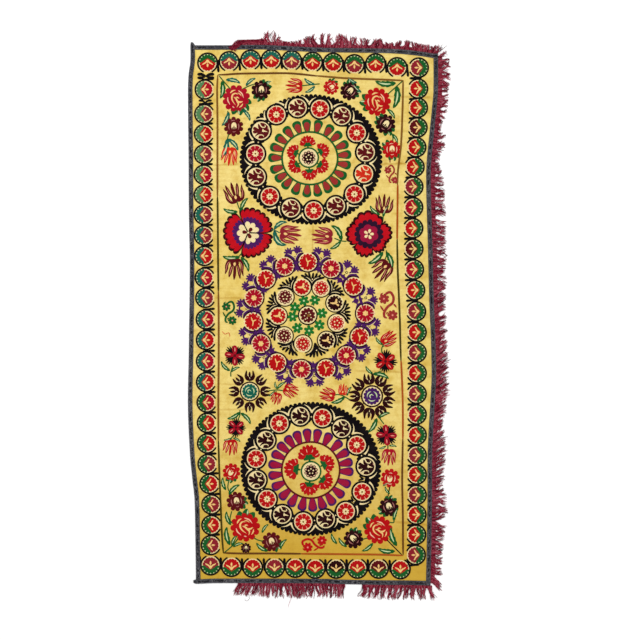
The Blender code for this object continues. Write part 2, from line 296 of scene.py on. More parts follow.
# Sections: places across the half width, and how high each stands
laidAcross = np.array([-1.0, -0.8, 0.0, 0.8, 1.0])
laidLift = np.array([-0.2, 0.82, 1.0, 0.82, -0.2])
overAcross = np.array([-1.0, -0.86, 0.0, 0.86, 1.0])  # worked over another patch
overLift = np.array([0.55, 1.0, 1.1, 1.0, 0.55])


def placed(spot, px, py):  # spot is x, y, turn in degrees, size in mm
    x, y, turn, size = spot
    c, s = math.cos(math.radians(turn)), math.sin(math.radians(turn))
    px, py = np.asarray(px, float) * size, np.asarray(py, float) * size
    return x + px * c - py * s, y + px * s + py * c


def catmull(s, i, f):
    a, b = s[np.maximum(i - 1, 0)], s[i]
    c, d = s[i + 1], s[np.minimum(i + 2, len(s) - 1)]
    square, cube = 2 * a - 5 * b + 4 * c - d, 3 * b - a - 3 * c + d
    return 0.5 * (2 * b + (c - a) * f + square * f * f + cube * f ** 3)


def stroke(work, spot, spine, half, thread, layer=0, shape=band, steps=None):
    sx, sy = placed(spot, [p[0] for p in spine], [p[1] for p in spine])
    length = np.concatenate([[0], np.cumsum(np.hypot(np.diff(sx), np.diff(sy)))])
    total = max(length[-1], 0.1)
    count = steps or int(np.clip(total / stitching["sampleStep"], 5, 90)) + 1
    t = 0.5 - 0.5 * np.cos(np.linspace(0, np.pi, count)) if count < 14 else np.linspace(0, 1, count)
    if len(spine) > 2:  # smooth through the points
        place = np.interp(t, length / total, np.arange(len(spine)))
        i = np.clip(place.astype(int), 0, len(spine) - 2)
        x, y = (catmull(np.asarray(s), i, place - i) for s in (sx, sy))
    else:
        x, y = np.interp(t, [0, 1], sx), np.interp(t, [0, 1], sy)
    dx, dy = np.gradient(x), np.gradient(y)
    size = np.maximum(np.hypot(dx, dy), 1e-6)
    width = half * spot[3] * shape(t)
    if layer < 2:
        shares = laidAcross[None, :] * width[:, None]
        lift = laidLift[None, :] * np.clip(width / 1.3, 0.25, 1)[:, None]
    else:
        shares = overAcross[None, :] * width[:, None]
        lift = np.repeat(overLift[None, :], len(t), axis=0)
    gx = x[:, None] - (dy / size)[:, None] * shares
    gy = y[:, None] + (dx / size)[:, None] * shares
    u = np.repeat((t * total)[:, None], 5, axis=1)
    addWorked(work, gx, gy, lift, u, shares + 0.5 * stitching["rowWidth"], thread, layer)


def patch(work, spot, outer, thread, layer=0, inner=0.0, start=0.0, end=360.0, steps=40):
    angle = np.radians(np.linspace(start, end, steps + 1))
    far = outer(angle) if callable(outer) else np.full_like(angle, outer)
    near = inner(angle) if callable(inner) else np.full_like(angle, inner)
    whole = not callable(inner) and inner == 0.0
    rim = -0.2 if layer < 2 else 0.55
    shares = np.array([0.0, 0.5, 0.9, 1.0]) if whole else np.array([0.0, 0.1, 0.5, 0.9, 1.0])
    lifts = np.array([1.0, 1.0, 0.92, rim]) if whole else np.array([rim, 0.9, 1.0, 0.9, rim])
    radius = near[:, None] + (far - near)[:, None] * shares[None, :]
    px, py = radius * np.cos(angle)[:, None], radius * np.sin(angle)[:, None]
    gx, gy = placed(spot, px, py)
    u = angle[:, None] * radius * spot[3]
    addWorked(work, gx, gy, np.repeat(lifts[None, :], steps + 1, axis=0), u, radius * spot[3], thread, layer)


def ellipse(angle, rx, ry):  # distance from the middle at an angle
    return rx * ry / np.hypot(ry * np.cos(angle), rx * np.sin(angle))


def lobed(radius, lobes, depth, turn=0.0):  # rounded lobes with sharp notches between
    def edge(angle):
        return radius * (1 - depth + depth * np.abs(np.sin(lobes / 2 * (angle - math.radians(turn)))) ** 0.5)
    return edge


def around(spot, angle, distance=0.0, size=None):  # a spot at an angle and distance in this one's frame
    x, y = placed(spot, distance * math.cos(math.radians(angle)), distance * math.sin(math.radians(angle)))
    return float(x), float(y), spot[2] + angle, spot[3] if size is None else size


def outward(x, y, middle, size):  # a spot turned away from a middle
    return x, y, math.degrees(math.atan2(y - middle[1], x - middle[0])), size


def joints(places, middle):  # spots half way between neighbours in a ring, and how far apart the two are
    for (ax, ay), (bx, by) in zip(places, places[1:] + places[:1]):
        yield outward((ax + bx) / 2, (ay + by) / 2, middle, 1.0), math.hypot(bx - ax, by - ay)


def arc(radius, first, last, count):  # points of an arc, in degrees
    angle = np.radians(np.linspace(first, last, count))
    return list(zip(radius * np.cos(angle), radius * np.sin(angle)))


def petals(work, spot, count, root, tip, half, thread, layer=0, start=0.0, spread=360.0, shape=drop):
    for k in range(count):
        angle = start + spread * k / (count if spread >= 360.0 else count - 1)
        stroke(work, around(spot, angle), [(root, 0), (tip, 0)], half, thread, layer, shape, 7)


def dots(work, spot, count, distance, radius, thread, layer, start=0.0):
    for k in range(count):
        patch(work, around(spot, start + 360.0 * k / count, distance), radius, thread, layer, steps=6)


def lines(work, spot, rows, half, thread, layer, shape=leaf, steps=None):
    for row in rows:
        stroke(work, spot, row, half, thread, layer, shape, steps)


def ringed(work, spot, thread="black", width=0.15):  # pale disc in a worked ring
    patch(work, spot, 1.0 - width * 0.8, "cream", 0, steps=32)
    patch(work, spot, 1.03, thread, 1, inner=1.0 - width, steps=44)


# Roundels are drawn in a circle of radius 1. This one is open below: red half below, green half above.
ringWidth = 0.165
arrowArm = [(0, 0.3), (-0.09, 0.14), (-0.22, 0.0), (-0.36, -0.06), (-0.5, -0.17)]


def borderRoundel(work, spot, red, green):
    def roof(angle):
        edge = 0.45 / np.maximum(np.sin(angle) + 0.62 * np.abs(np.cos(angle)), 0.3)
        return edge * (1.0 - 0.15 * np.abs(np.sin(6 * angle)))

    def rounded(angle):  # the ring thins out to both ends
        gap = np.minimum(angle - math.radians(-72), math.radians(252) - angle)
        return 1.0 - ringWidth * (0.7 + 0.3 * np.clip(4.0 * gap, 0, 1))

    patch(work, spot, 0.86, "cream", 0, steps=32)
    patch(work, spot, lobed(0.825, 16, 0.09), red, 1, steps=64)
    patch(work, spot, lobed(0.825, 16, 0.06), green, 2, inner=roof, start=-4, end=184, steps=48)
    lines(work, spot, [arrowArm, [(-px, py) for px, py in arrowArm]], 0.084, "straw", 3, blunt, 10)
    stroke(work, spot, [(0, 0.36), (0, 0.0)], 0.085, "straw", 4, leaf, 6)
    stroke(work, spot, [(0, 0.1), (0, -0.2)], 0.034, "straw", 3.8, band, 5)
    stroke(work, spot, [(0, -0.04), (0, -0.42)], 0.095, "straw", 4, leaf, 7)
    for k in range(16):
        patch(work, around(spot, 22.5 * k, 0.77), 0.053, "cream" if 8 <= k or k == 0 else "pale", 4, steps=6)
    patch(work, spot, 1.0, "black", 1.2, inner=rounded, start=-66, end=246, steps=56)
    stroke(work, spot, [(1.0, 0.3), (1.0, -0.2), (1.01, -0.56), (1.03, -0.88)],
           0.13, "black", 1.3, clubbed, 9)


def starRoundel(work, spot, thread):
    ringed(work, spot)
    patch(work, spot, lobed(0.82, 9, 0.09), thread, 1, steps=63)
    petals(work, spot, 9, 0.84, 0.44, 0.046, "rosy", 2, shape=wedge)
    patch(work, spot, lobed(0.32, 8, 0.42), "cream", 3, steps=40)
    patch(work, spot, 0.1, "ochre", 4, steps=8)


def tulipRoundel(work, spot, thread):  # a full flower head, parted by pale lines, the same way up everywhere
    ringed(work, spot)
    x, y, _, size = spot
    spot = (x, y, 0.0, size)
    patch(work, spot, 0.81, thread, 1, start=-112, end=98, steps=32)
    lines(work, spot, [[(0.08, 0.02), (-0.3, 0.1), (-0.74, 0.27)],
                       [(0.08, -0.03), (-0.3, -0.08), (-0.76, -0.12)]],
          0.16, thread, 2, clubbed, 9)
    lines(work, spot, [[(0.16, 0.12), (-0.1, 0.26), (-0.26, 0.64)],
                       [(0.24, -0.18), (-0.16, -0.26), (-0.56, -0.54)]],
          0.145, thread, 2.1, leaf, 10)
    stroke(work, spot, [(-0.16, 0.76), (-0.06, 0.5), (0.06, 0.36), (0.28, 0.31), (0.42, 0.42), (0.32, 0.54)],
           0.06, "cream", 3, blunt, 16)
    stroke(work, spot, [(-0.54, -0.66), (-0.32, -0.46), (-0.04, -0.38), (0.2, -0.44), (0.22, -0.58)],
           0.058, "cream", 3, blunt, 14)
    stroke(work, spot, [(0.1, 0.0), (0.34, -0.04), (0.58, -0.1)], 0.095, "cream", 3, wedge, 9)
    stroke(work, spot, [(0.14, 0.2), (0.2, 0.04), (0.2, -0.16)], 0.046, "cream", 4, leaf, 7)
    stroke(work, spot, [(0.62, 0.34), (0.69, 0.1)], 0.036, "rosy", 3, leaf, 5)


def triSpokeRoundel(work, spot, thread):
    x, y, _, size = spot
    plain = (x, y, 0.0, size)
    patch(work, plain, 0.93, "cream", 0, steps=30)
    patch(work, plain, lobed(0.89, 14, 0.17), thread, 1, steps=70)
    for angle, reach in ((112, 0.46), (25, 0.36), (262, 0.44)):
        stroke(work, around(plain, angle), [(-0.04, 0), (0.18, 0.03), (reach, 0.0)],
               0.07, "straw", 2, blunt, 7)
    lines(work, plain, [[(0.28, 0.58), (0.4, 0.44), (0.56, 0.46)], [(0.56, 0.2), (0.62, 0.04)],
                        [(0.6, -0.14), (0.52, -0.3)], [(-0.56, 0.3), (-0.48, 0.46)]],
          0.045, "rosy", 2, leaf, 6)


def flareRoundel(work, spot, thread):
    patch(work, spot, 0.93, "cream", 0, steps=30)
    patch(work, spot, lobed(0.9, 18, 0.12), thread, 1, steps=72)
    petals(work, spot, 9, 0.93, 0.46, 0.062, "rosy", 2, shape=wedge)
    patch(work, spot, lobed(0.28, 6, 0.3), "straw", 3, steps=24)


def paisleyRoundel(work, spot, thread):
    x, y, _, size = spot
    plain = (x, y, 0.0, size)
    patch(work, plain, 0.93, "cream", 0, steps=30)
    patch(work, plain, lobed(0.87, 13, 0.16), thread, 1, steps=65)
    lines(work, plain, [[(-0.5, 0.02), (-0.22, -0.04), (0.12, 0.0)],
                        [(0.0, -0.02), (0.14, 0.2), (0.16, 0.44)],
                        [(0.0, 0.0), (0.24, -0.14), (0.4, -0.34)]], 0.115, "straw", 2, drop, 8)
    patch(work, around(plain, 10, 0.12), 0.17, "straw", 2.5, steps=12)
    dots(work, around(plain, 20, 0.3), 2, 0.16, 0.075, thread, 4, start=60)
    lines(work, plain, [[(0.42, 0.22), (0.52, 0.02)], [(0.3, 0.6), (0.44, 0.48)]], 0.06, "cream", 2, leaf, 5)


def clusterRoundel(work, spot, thread, disc="cream"):
    if disc:
        patch(work, spot, 0.92, disc, 0, steps=32)
    patch(work, spot, lobed(0.83, 10, 0.22), thread, 1, steps=60)
    dots(work, spot, 10, 0.6, 0.09, "rosy", 2, start=18)
    dots(work, spot, 5, 0.27, 0.095, "cream", 2, start=20)


# Flowers and leaves
def greenLeaf(work, x, y, turn, length, thread="green", bend=0.13):
    spot = (x, y, turn, length)
    spine = [(0, 0), (0.35, bend * 0.8), (0.7, bend), (1.0, bend * 0.3)]
    slit = [(0.22, bend * 0.6), (0.5, bend * 0.98), (0.84, bend * 0.8)]
    stroke(work, spot, spine, 0.155, thread, 1, serrated, 18)
    stroke(work, spot, slit, 0.155 * 0.25, "pale", 2, leaf, 8)


# Pale lines that part the petals of a large rose: line, half width, colour
roseLines = [
    ([(0.16, 0.3), (-0.06, 0.4), (-0.27, 0.28), (-0.33, 0.04), (-0.24, -0.22), (-0.06, -0.46)],
     0.062, "straw"),
    ([(-0.2, 0.14), (-0.04, 0.02), (0.06, -0.16), (0.16, -0.4), (0.02, -0.64)], 0.07, "straw"),
    ([(-0.04, 0.1), (0.1, 0.1), (0.22, 0.02)], 0.055, "straw"),
    ([(0.08, -0.16), (0.28, -0.26), (0.5, -0.2)], 0.066, "straw"),
    ([(-0.62, 0.14), (-0.63, -0.12), (-0.46, -0.46)], 0.05, "rosy"),
    ([(-0.46, 0.4), (-0.28, 0.58), (-0.04, 0.64)], 0.056, "straw"),
    ([(0.14, 0.62), (0.42, 0.38), (0.54, 0.06)], 0.052, "rosy"),
    ([(0.08, 0.44), (0.28, 0.34), (0.38, 0.18)], 0.04, "straw"),
    ([(0.5, -0.34), (0.38, -0.54), (0.2, -0.66)], 0.052, "straw"),
    ([(-0.3, -0.56), (-0.14, -0.68)], 0.045, "rosy"),
]


def sepals(work, spot, angles):  # green lobes that show behind a rose
    for angle in angles:
        for side in (-24, 4, 30):
            lobe = [(0, 0), (0.34, 0.06), (0.7 - 0.004 * abs(side), 0.0)]
            stroke(work, around(spot, angle + side, 0.6), lobe, 0.25, "green", 0, serrated, 8)
        stroke(work, around(spot, angle, 0.86), [(0, 0), (0.34, 0.02)], 0.06, "pale", 2, leaf, 5)


def rose(work, x, y, turn, size, thread, green):
    spot = (x, y, turn, size)
    sepals(work, spot, green)
    large = size > 40
    lobes = 12 if large else 10
    patch(work, spot, lobed(1.04, lobes, 0.2 if large else 0.25), thread, 1, steps=lobes * 7)
    if large:
        for row, half, pale in roseLines:
            stroke(work, spot, row, half, pale, 2, leaf)
        return
    side = "rosy" if thread in ("red", "crimson") else "dustyPink"
    stroke(work, spot, [(0.04, -0.26), (0.04, 0.44)], 0.29, "cream", 2, arch, 12)
    lines(work, spot, [[(0.04 + s, -0.36), (0.04 + s * 0.9, -0.16), (0.04 + s * 0.7, 0.1 - abs(s) * 0.8)]
                       for s in (-0.2, 0.0, 0.2)], 0.085, thread, 3, leaf, 6)
    lines(work, spot, [[(-0.46, 0.34), (-0.52, 0.0), (-0.44, -0.36)],
                       [(0.5, 0.34), (0.56, 0.0), (0.48, -0.34)]],
          0.06, side, 2, leaf, 7)
    lines(work, spot, [[(-0.14, -0.52), (0.04, -0.57), (0.24, -0.5)],
                       [(-0.3, 0.56), (-0.06, 0.66), (0.16, 0.62)]],
          0.052, side, 2, leaf, 6)


# Petals of a tulip that opens along x: line and half width
tulipPetals = [
    ([(0.02, 0.04), (0.06, 0.27), (0.28, 0.39), (0.56, 0.37), (0.86, 0.43)], 0.08),
    ([(0.2, 0.12), (0.5, 0.2), (0.98, 0.26)], 0.074),
    ([(0.3, 0.01), (0.62, -0.01), (1.02, -0.06)], 0.074),
    ([(0.24, -0.1), (0.5, -0.2), (0.88, -0.32)], 0.08),
    ([(0.02, -0.04), (0.06, -0.27), (0.26, -0.4), (0.5, -0.43), (0.72, -0.52)], 0.082),
]


def tulip(work, spot, thread, spread):  # opens along x
    patch(work, around(spot, 0, 0.17), lambda a: 0.17 + 0.05 * np.abs(np.sin(a)), thread, 1, steps=24)
    for k, (row, half) in enumerate(tulipPetals):
        stroke(work, spot, [(px, py * spread) for px, py in row], half, thread, 1 + 0.15 * k, tipped, 16)
    light = "rosy" if thread in ("red", "orange", "crimson") else "blush"
    for row, half in (([(0.12, 0.26), (0.3, 0.37), (0.62, 0.375)], 0.015),
                      ([(0.3, 0.14), (0.56, 0.205), (0.8, 0.235)], 0.013),
                      ([(0.32, -0.12), (0.54, -0.215), (0.76, -0.28)], 0.016),
                      ([(0.1, -0.26), (0.26, -0.39), (0.56, -0.45)], 0.016)):
        stroke(work, spot, [(px, py * spread) for px, py in row], half, light, 2.6, leaf, 8)
    stroke(work, spot, [(0.14, 0.02), (0.34, -0.02)], 0.064, "straw", 2.6, leaf, 8)


def carnation(work, spot):  # opens along x, with its root at the spot
    patch(work, spot, lambda a: 0.84 - 0.25 * np.sin(a) ** 2, "red", 1, start=-78, end=78, steps=30)
    for k in range(9):
        angle = -68 + 17 * k
        reach = 1.02 - 0.26 * math.sin(math.radians(angle)) ** 2
        stroke(work, around(spot, angle), [(0.3, 0), (reach, 0)], 0.138, "red", 1.1 + 0.1 * (k % 2), drop, 9)
    for angle in (-63, -27, 9, 45):
        stroke(work, around(spot, angle), [(0.76, 0), (0.48, 0)], 0.03, "rosy", 2, leaf, 6)
    patch(work, spot, lobed(0.38, 7, 0.24), "green", 3, start=-92, end=92, steps=36)
    stroke(work, spot, [(-0.16, 0), (0.12, 0)], 0.07, "green", 1, band, 4)


def sprig(work, x, y, turn, size, thread, prongs):  # small round leaf with blunt prongs
    spot = (x, y, turn, size)
    patch(work, spot, 0.68, thread, 1, steps=14)
    petals(work, spot, prongs, 0.25, 1.1, 0.2, thread, 1.1, start=-92, spread=184, shape=drop)


def floret(work, x, y, turn, size, thread, heart="pale", count=6):
    spot = (x, y, turn, size)
    petals(work, spot, count, 0.05, 1.0, 0.3, thread, 1)
    patch(work, spot, 0.19, heart, 2, steps=8)


def fourPetal(work, x, y, turn, size, thread):  # over a spiky black ground
    spot = (x, y, turn, size)
    for k in range(4):
        for angle, reach in ((-26, 0.94), (-13, 1.04), (0, 1.12), (13, 1.04), (26, 0.94)):
            stroke(work, around(spot, 45 + 90 * k + angle), [(0.15, 0), (0.6, 0), (reach, 0)],
                   0.105, "black", 1, bladed, 8)
    for k in range(4):
        petal = around(spot, 90 * k + (4 if k % 2 else -5), 0.0)
        stroke(work, petal, [(0.04, 0), (0.98, 0)], 0.26, thread, 2, drop, 12)
        stroke(work, petal, [(0.3, 0.1), (0.6, 0.13), (0.86, 0.07)], 0.05, "maroon", 3, leaf, 7)
        stroke(work, petal, [(0.36, -0.02), (0.8, -0.02)], 0.062, "blush", 3.3, leaf, 7)
    patch(work, spot, 0.15, "maroon", 3, steps=8)


def clawSun(work, x, y, turn, size, heart, claws):  # size is the radius of the ring
    spot = (x, y, turn, size)
    patch(work, spot, 0.92, "cream", 0, steps=30)
    patch(work, spot, 1.01, "darkMaroon", 1, inner=0.86, steps=40)
    patch(work, spot, lobed(0.85, 14, 0.13), heart, 1, steps=70)
    lines(work, spot, [arc(0.44, 120 * k, 120 * k + 95, 6) for k in range(3)], 0.06, "pale", 2)
    stroke(work, spot, [(-0.16, 0.12), (0.06, 0.2), (0.17, 0.0), (0.0, -0.14)], 0.065, "pale", 2, leaf)
    for k in range(claws):
        claw = around(spot, 360.0 * k / claws, 1.1)
        patch(work, around(claw, 0, 0.29), 0.3, "darkMaroon", 1, steps=14)
        stroke(work, claw, [(0.3, 0), (0.6, 0.02), (0.92, 0)], 0.125, "darkMaroon", 1.2, leaf, 8)
        stroke(work, claw, [(0.15, 0), (0.36, 0)], 0.05, "cream", 2.2, leaf, 4)
        for s in (-1, 1):
            stroke(work, claw, [(0.06, 0.03 * s), (0.14, 0.26 * s), (0.46, 0.39 * s), (1.04, 0.31 * s)],
                   0.155, "darkMaroon", 1, bladed, 11)
            stroke(work, claw, [(0.38, 0.1 * s), (0.54, 0.16 * s), (0.72, 0.2 * s)],
                   0.034, "cream", 2.2, leaf, 5)
        stroke(work, claw, [(-0.12, 0), (0.16, 0)], 0.045, "darkMaroon", 1, band, 4)


scrollStem = [(-0.16, 0.86), (0.05, 1.04), (0.35, 1.04), (0.53, 0.61), (0.41, 0.19), (-0.01, -0.11),
              (-0.31, -0.53), (-0.31, -0.89), (-0.1, -1.01)]


def scroll(work, x, y, turn, size, thread, bloom):  # S-shaped stem with a floret in each bend
    spot = (x, y, turn, size)
    stroke(work, spot, scrollStem, 0.105, thread, 1, band)
    stroke(work, spot, [(-0.52, 0.72), (-0.46, 0.98), (-0.26, 1.06)], 0.06, thread, 1, leaf)
    stroke(work, spot, [(0.06, -0.66), (-0.08, -0.56), (-0.16, -0.72)], 0.06, thread, 1, leaf)
    for px, py in ((-0.25, 0.58), (0.35, -0.8)):
        bx, by = placed(spot, px, py)
        floret(work, float(bx), float(by), 20 + turn, size * bloom, thread, "blush", 7)
    for row in ([(-0.34, -0.42), (-0.5, -0.14), (-0.6, 0.06)], [(0.5, 0.1), (0.66, -0.1), (0.7, -0.22)]):
        stroke(work, spot, row, 0.08, thread, 1, leaf, 6)


def stem(work, points, thread, half, layer=0):
    stroke(work, (0, 0, 0, 1.0), points, half, thread, layer)


# Materials
def linear(colour, gain=1.0, lift=0.0):  # 0 to 255 as on a screen, to the four values that a shader takes
    def one(c):
        c = c / 255.0
        return c / 12.92 if c <= 0.04045 else ((c + 0.055) / 1.055) ** 2.4
    return tuple(min(1.0, one(c) * gain + lift) for c in colour) + (1.0,)


class Nodes:  # short way to build a node tree
    def __init__(self, name):
        self.material = bpy.data.materials.new(name)
        self.material.use_nodes = True
        self.tree = self.material.node_tree
        self.shader = self.tree.nodes["Principled BSDF"]

    def add(self, kind, inputs=(), out=0, **settings):
        node = self.tree.nodes.new(kind)
        for key, value in settings.items():
            setattr(node, key, value)
        for key, value in dict(inputs).items():
            self.give(node.inputs[key], value)
        return node.outputs[out]

    def give(self, socket, value):
        if isinstance(value, bpy.types.NodeSocket):
            self.tree.links.new(value, socket)
        else:
            socket.default_value = value

    def place(self):  # object coordinates
        return self.add("ShaderNodeTexCoord", out=3)

    def split(self, vector):
        return self.add("ShaderNodeSeparateXYZ", {0: vector}).node.outputs[:2]

    def stitchPlace(self):  # along and across the worked line, mm
        return self.split(self.add("ShaderNodeUVMap", uv_map="stitch"))

    def math(self, operation, a, b=0.0, clamp=False):
        return self.add("ShaderNodeMath", {0: a, 1: b}, operation=operation, use_clamp=clamp)

    def times(self, a, b):
        return self.math("MULTIPLY", a, b)

    def plus(self, a, b, clamp=False):
        return self.math("ADD", a, b, clamp)

    def minus(self, a, b):
        return self.math("SUBTRACT", a, b)

    def over(self, a, b):
        return self.math("DIVIDE", a, b)

    def whole(self, a):
        return self.math("FLOOR", a)

    def apart(self, a, b):  # distance from a to b
        return self.math("ABSOLUTE", self.minus(a, b))

    def fromMiddle(self, a):  # 0 in the middle of each unit of a, 0.5 at its ends
        return self.apart(self.math("FRACT", a), 0.5)

    def hump(self, a, drop):  # 1 where a is 0, lower to both sides
        return self.minus(1.0, self.times(self.times(a, a), drop))

    def noise(self, place, scale, detail=2.0, roughness=0.5):
        return self.add("ShaderNodeTexNoise", {"Vector": place, "Scale": scale, "Detail": detail,
                                               "Roughness": roughness})

    def ramp(self, value, low, high, to0=0.0, to1=1.0):
        return self.add("ShaderNodeMapRange", {"Value": value, "From Min": low, "From Max": high,
                                               "To Min": to0, "To Max": to1})

    def mix(self, share, a, b):
        return self.add("ShaderNodeMix", {0: share, 6: a, 7: b}, 2, data_type="RGBA")

    def finish(self, colour, height, bumpDistance, roughness, sheen=0.0):
        for name, value in (("Base Color", colour), ("Roughness", roughness), ("Sheen Weight", sheen),
                            ("Sheen Roughness", 0.4), ("Specular IOR Level", 0.05)):
            self.give(self.shader.inputs[name], value)
        bump = self.add("ShaderNodeBump", {"Strength": 1.0, "Distance": bumpDistance, "Height": height})
        self.tree.links.new(bump, self.shader.inputs["Normal"])
        return self.material


def threadMaterial(name, colour):  # rows of chain stitch, along the worked line
    nodes = Nodes(name + "_thread")
    along, across = nodes.stitchPlace()
    row = nodes.over(across, stitching["rowWidth"])
    inRow = nodes.fromMiddle(row)
    shifted = nodes.plus(nodes.over(along, stitching["stitchLength"]), nodes.times(nodes.whole(row), 0.37))
    inStitch = nodes.fromMiddle(nodes.plus(shifted, nodes.times(inRow, 0.9)))
    height = nodes.times(nodes.hump(inRow, 3.4), nodes.hump(inStitch, 2.0))
    place = nodes.place()
    fibre = nodes.noise(place, 900.0)
    # darker copy of the thread colour: painted shade between the stitches, and dark fibre flecks
    dark = linear(colour, 0.55)
    worn = nodes.mix(nodes.ramp(nodes.noise(place, 28.0, 3.0), 0.4, 0.72), linear(colour),
                     linear(colour, 1.1, 0.006))
    # painted shade: darker in the hollows between and around the chain stitches
    body = nodes.mix(nodes.ramp(height, 0.15, 0.75), dark, worn)
    fleck = nodes.mix(nodes.ramp(fibre, 0.35, 0.65, 0.0, 0.22), body, dark)
    return nodes.finish(fleck, nodes.plus(height, nodes.times(fibre, 0.25)), 0.0005,
                        nodes.ramp(fibre, 0.3, 0.7, 0.55, 0.8), sheen=0.01)


materials = {name: threadMaterial(name, colour) for name, colour in threads.items()}
print("thread colours ready:", len(materials))


# Ground cloth
groundLook = {
    "pale": (233, 211, 130),
    "middle": (217, 188, 94),
    "golden": (198, 160, 56),
    # darker yellow of soiling, also used as painted shade along the fold lines and between the weave's
    # threads
    "soil": (176, 132, 40),
    "goldenBelow": -0.5,  # y in metres where the dye turns golden
    "threadSpacing": 0.7,  # satin floats, mm
}


def paintedFoldShade(nodes, x, y, wander):  # painted shade along the fold lines: 1 on a fold line, 0 away from it
    mark = 0.0
    for x0, y0, x1, y1, strength, half in foldLines:
        tall = abs(y1 - y0) > abs(x1 - x0)
        (a0, b0, a1, b1), (along, across) = ((y0, x0, y1, x1), (y, x)) if tall else ((x0, y0, x1, y1), (x, y))
        if a0 > a1:
            a0, b0, a1, b1 = a1, b1, a0, b0
        slope = (b1 - b0) / (a1 - a0)
        line = nodes.plus(nodes.times(along, slope), nodes.plus(wander, (b0 - slope * a0) * mm))
        near = nodes.ramp(nodes.apart(across, line), 0.0, half * mm, strength, 0.0)
        ends = nodes.times(nodes.ramp(along, (a0 - 12) * mm, (a0 + 12) * mm),
                          nodes.ramp(along, (a1 + 12) * mm, (a1 - 12) * mm))
        mark = nodes.math("MAXIMUM", nodes.times(near, ends), mark)
    return mark


def groundMaterial():
    nodes = Nodes("yellow_sateen")
    place = nodes.place()
    middle = nodes.add("ShaderNodeMapping",
                       {"Vector": place, "Location": (-clothMiddle[0], -clothMiddle[1], 0.0)})
    x, y = nodes.split(middle)
    cloudy = nodes.noise(place, 3.2, 3.0)
    mottled = nodes.noise(place, 24.0, 4.0, 0.6)
    spotted = nodes.noise(place, 75.0, 3.0, 0.6)
    streakPlace = nodes.add("ShaderNodeMapping", {"Vector": place, "Scale": (8.0, 120.0, 8.0)})
    streaks = nodes.noise(streakPlace, 1.0, 3.0)
    lower = nodes.ramp(nodes.plus(y, nodes.times(nodes.minus(cloudy, 0.5), 0.25)),
                       groundLook["goldenBelow"] + 0.12, groundLook["goldenBelow"] - 0.3)
    tone = nodes.plus(nodes.times(cloudy, 0.5), nodes.times(mottled, 0.5))
    plain = nodes.mix(nodes.ramp(tone, 0.38, 0.62), linear(groundLook["pale"]),
                      linear(groundLook["middle"]))
    dyed = nodes.mix(lower, plain, linear(groundLook["golden"]))
    wander = nodes.times(nodes.minus(mottled, 0.5), 0.01)
    # painted shade: the cloth's colour darkens along each fold line
    mark = paintedFoldShade(nodes, x, y, wander)
    soiled = nodes.plus(nodes.ramp(mottled, 0.48, 0.75, 0.0, 0.34), nodes.ramp(spotted, 0.5, 0.75, 0.0, 0.26))
    # share of the darker yellow: soiling in patches and streaks, plus the painted shade along the fold lines
    fade = nodes.plus(nodes.plus(soiled, mark), nodes.ramp(streaks, 0.5, 0.8, 0.0, 0.25), clamp=True)
    body = nodes.mix(fade, dyed, linear(groundLook["soil"]))
    warp = nodes.add("ShaderNodeTexWave",
                     {"Vector": place, "Scale": 1.0 / (groundLook["threadSpacing"] * mm) / 6.283,
                      "Distortion": 1.2, "Detail": 2.0, "Detail Scale": 3.0},
                     out=1, bands_direction="X")
    weft = nodes.add("ShaderNodeTexWave",
                     {"Vector": place, "Scale": 0.6 / (groundLook["threadSpacing"] * mm) / 6.283,
                      "Distortion": 1.0, "Detail": 1.0},
                     out=1, bands_direction="Y")
    weave = nodes.plus(nodes.times(warp, 0.7), nodes.times(weft, 0.3))
    # painted shade: the colour darkens in the hollows between the weave's threads
    woven = nodes.mix(nodes.ramp(weave, 0.0, 0.6, 0.16, 0.0), body, linear(groundLook["soil"]))
    slub = nodes.times(nodes.noise(streakPlace, 2.0, 2.0), 1.4)
    height = nodes.minus(nodes.plus(weave, slub), nodes.times(mark, 2.0))
    roughness = nodes.ramp(mottled, 0.3, 0.7, 0.42, 0.6)
    return nodes.finish(woven, height, 0.00022, roughness, sheen=0.05)


def clothGrid():
    inset = cloth["rimInset"]
    u, v = np.meshgrid(np.linspace(0, 1, cloth["columns"] + 1), np.linspace(0, 1, cloth["rows"] + 1))
    x = (u - 0.5) * cloth["width"]
    for _ in range(4):
        y = (edgePoint("bottom", x)[1] + inset) * (1 - v) + (edgePoint("top", x)[1] - inset) * v
        x = (edgePoint("left", y)[0] + inset) * (1 - u) + (edgePoint("right", y)[0] - inset) * u
    return x, y


def makeGround():  # the sheet, with its folds
    x, y = clothGrid()
    work = newWork("yellow_ground")
    addGrid(work, x, y, clothHeight(x, y), x, y, "ground")
    piece = makePiece(work, {"ground": groundMaterial()})
    thick = piece.modifiers.new("thickness", "SOLIDIFY")
    thick.thickness = cloth["sheet"] * mm
    thick.offset = -1.0
    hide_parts("ground_cloth")
    return piece


ground = makeGround()


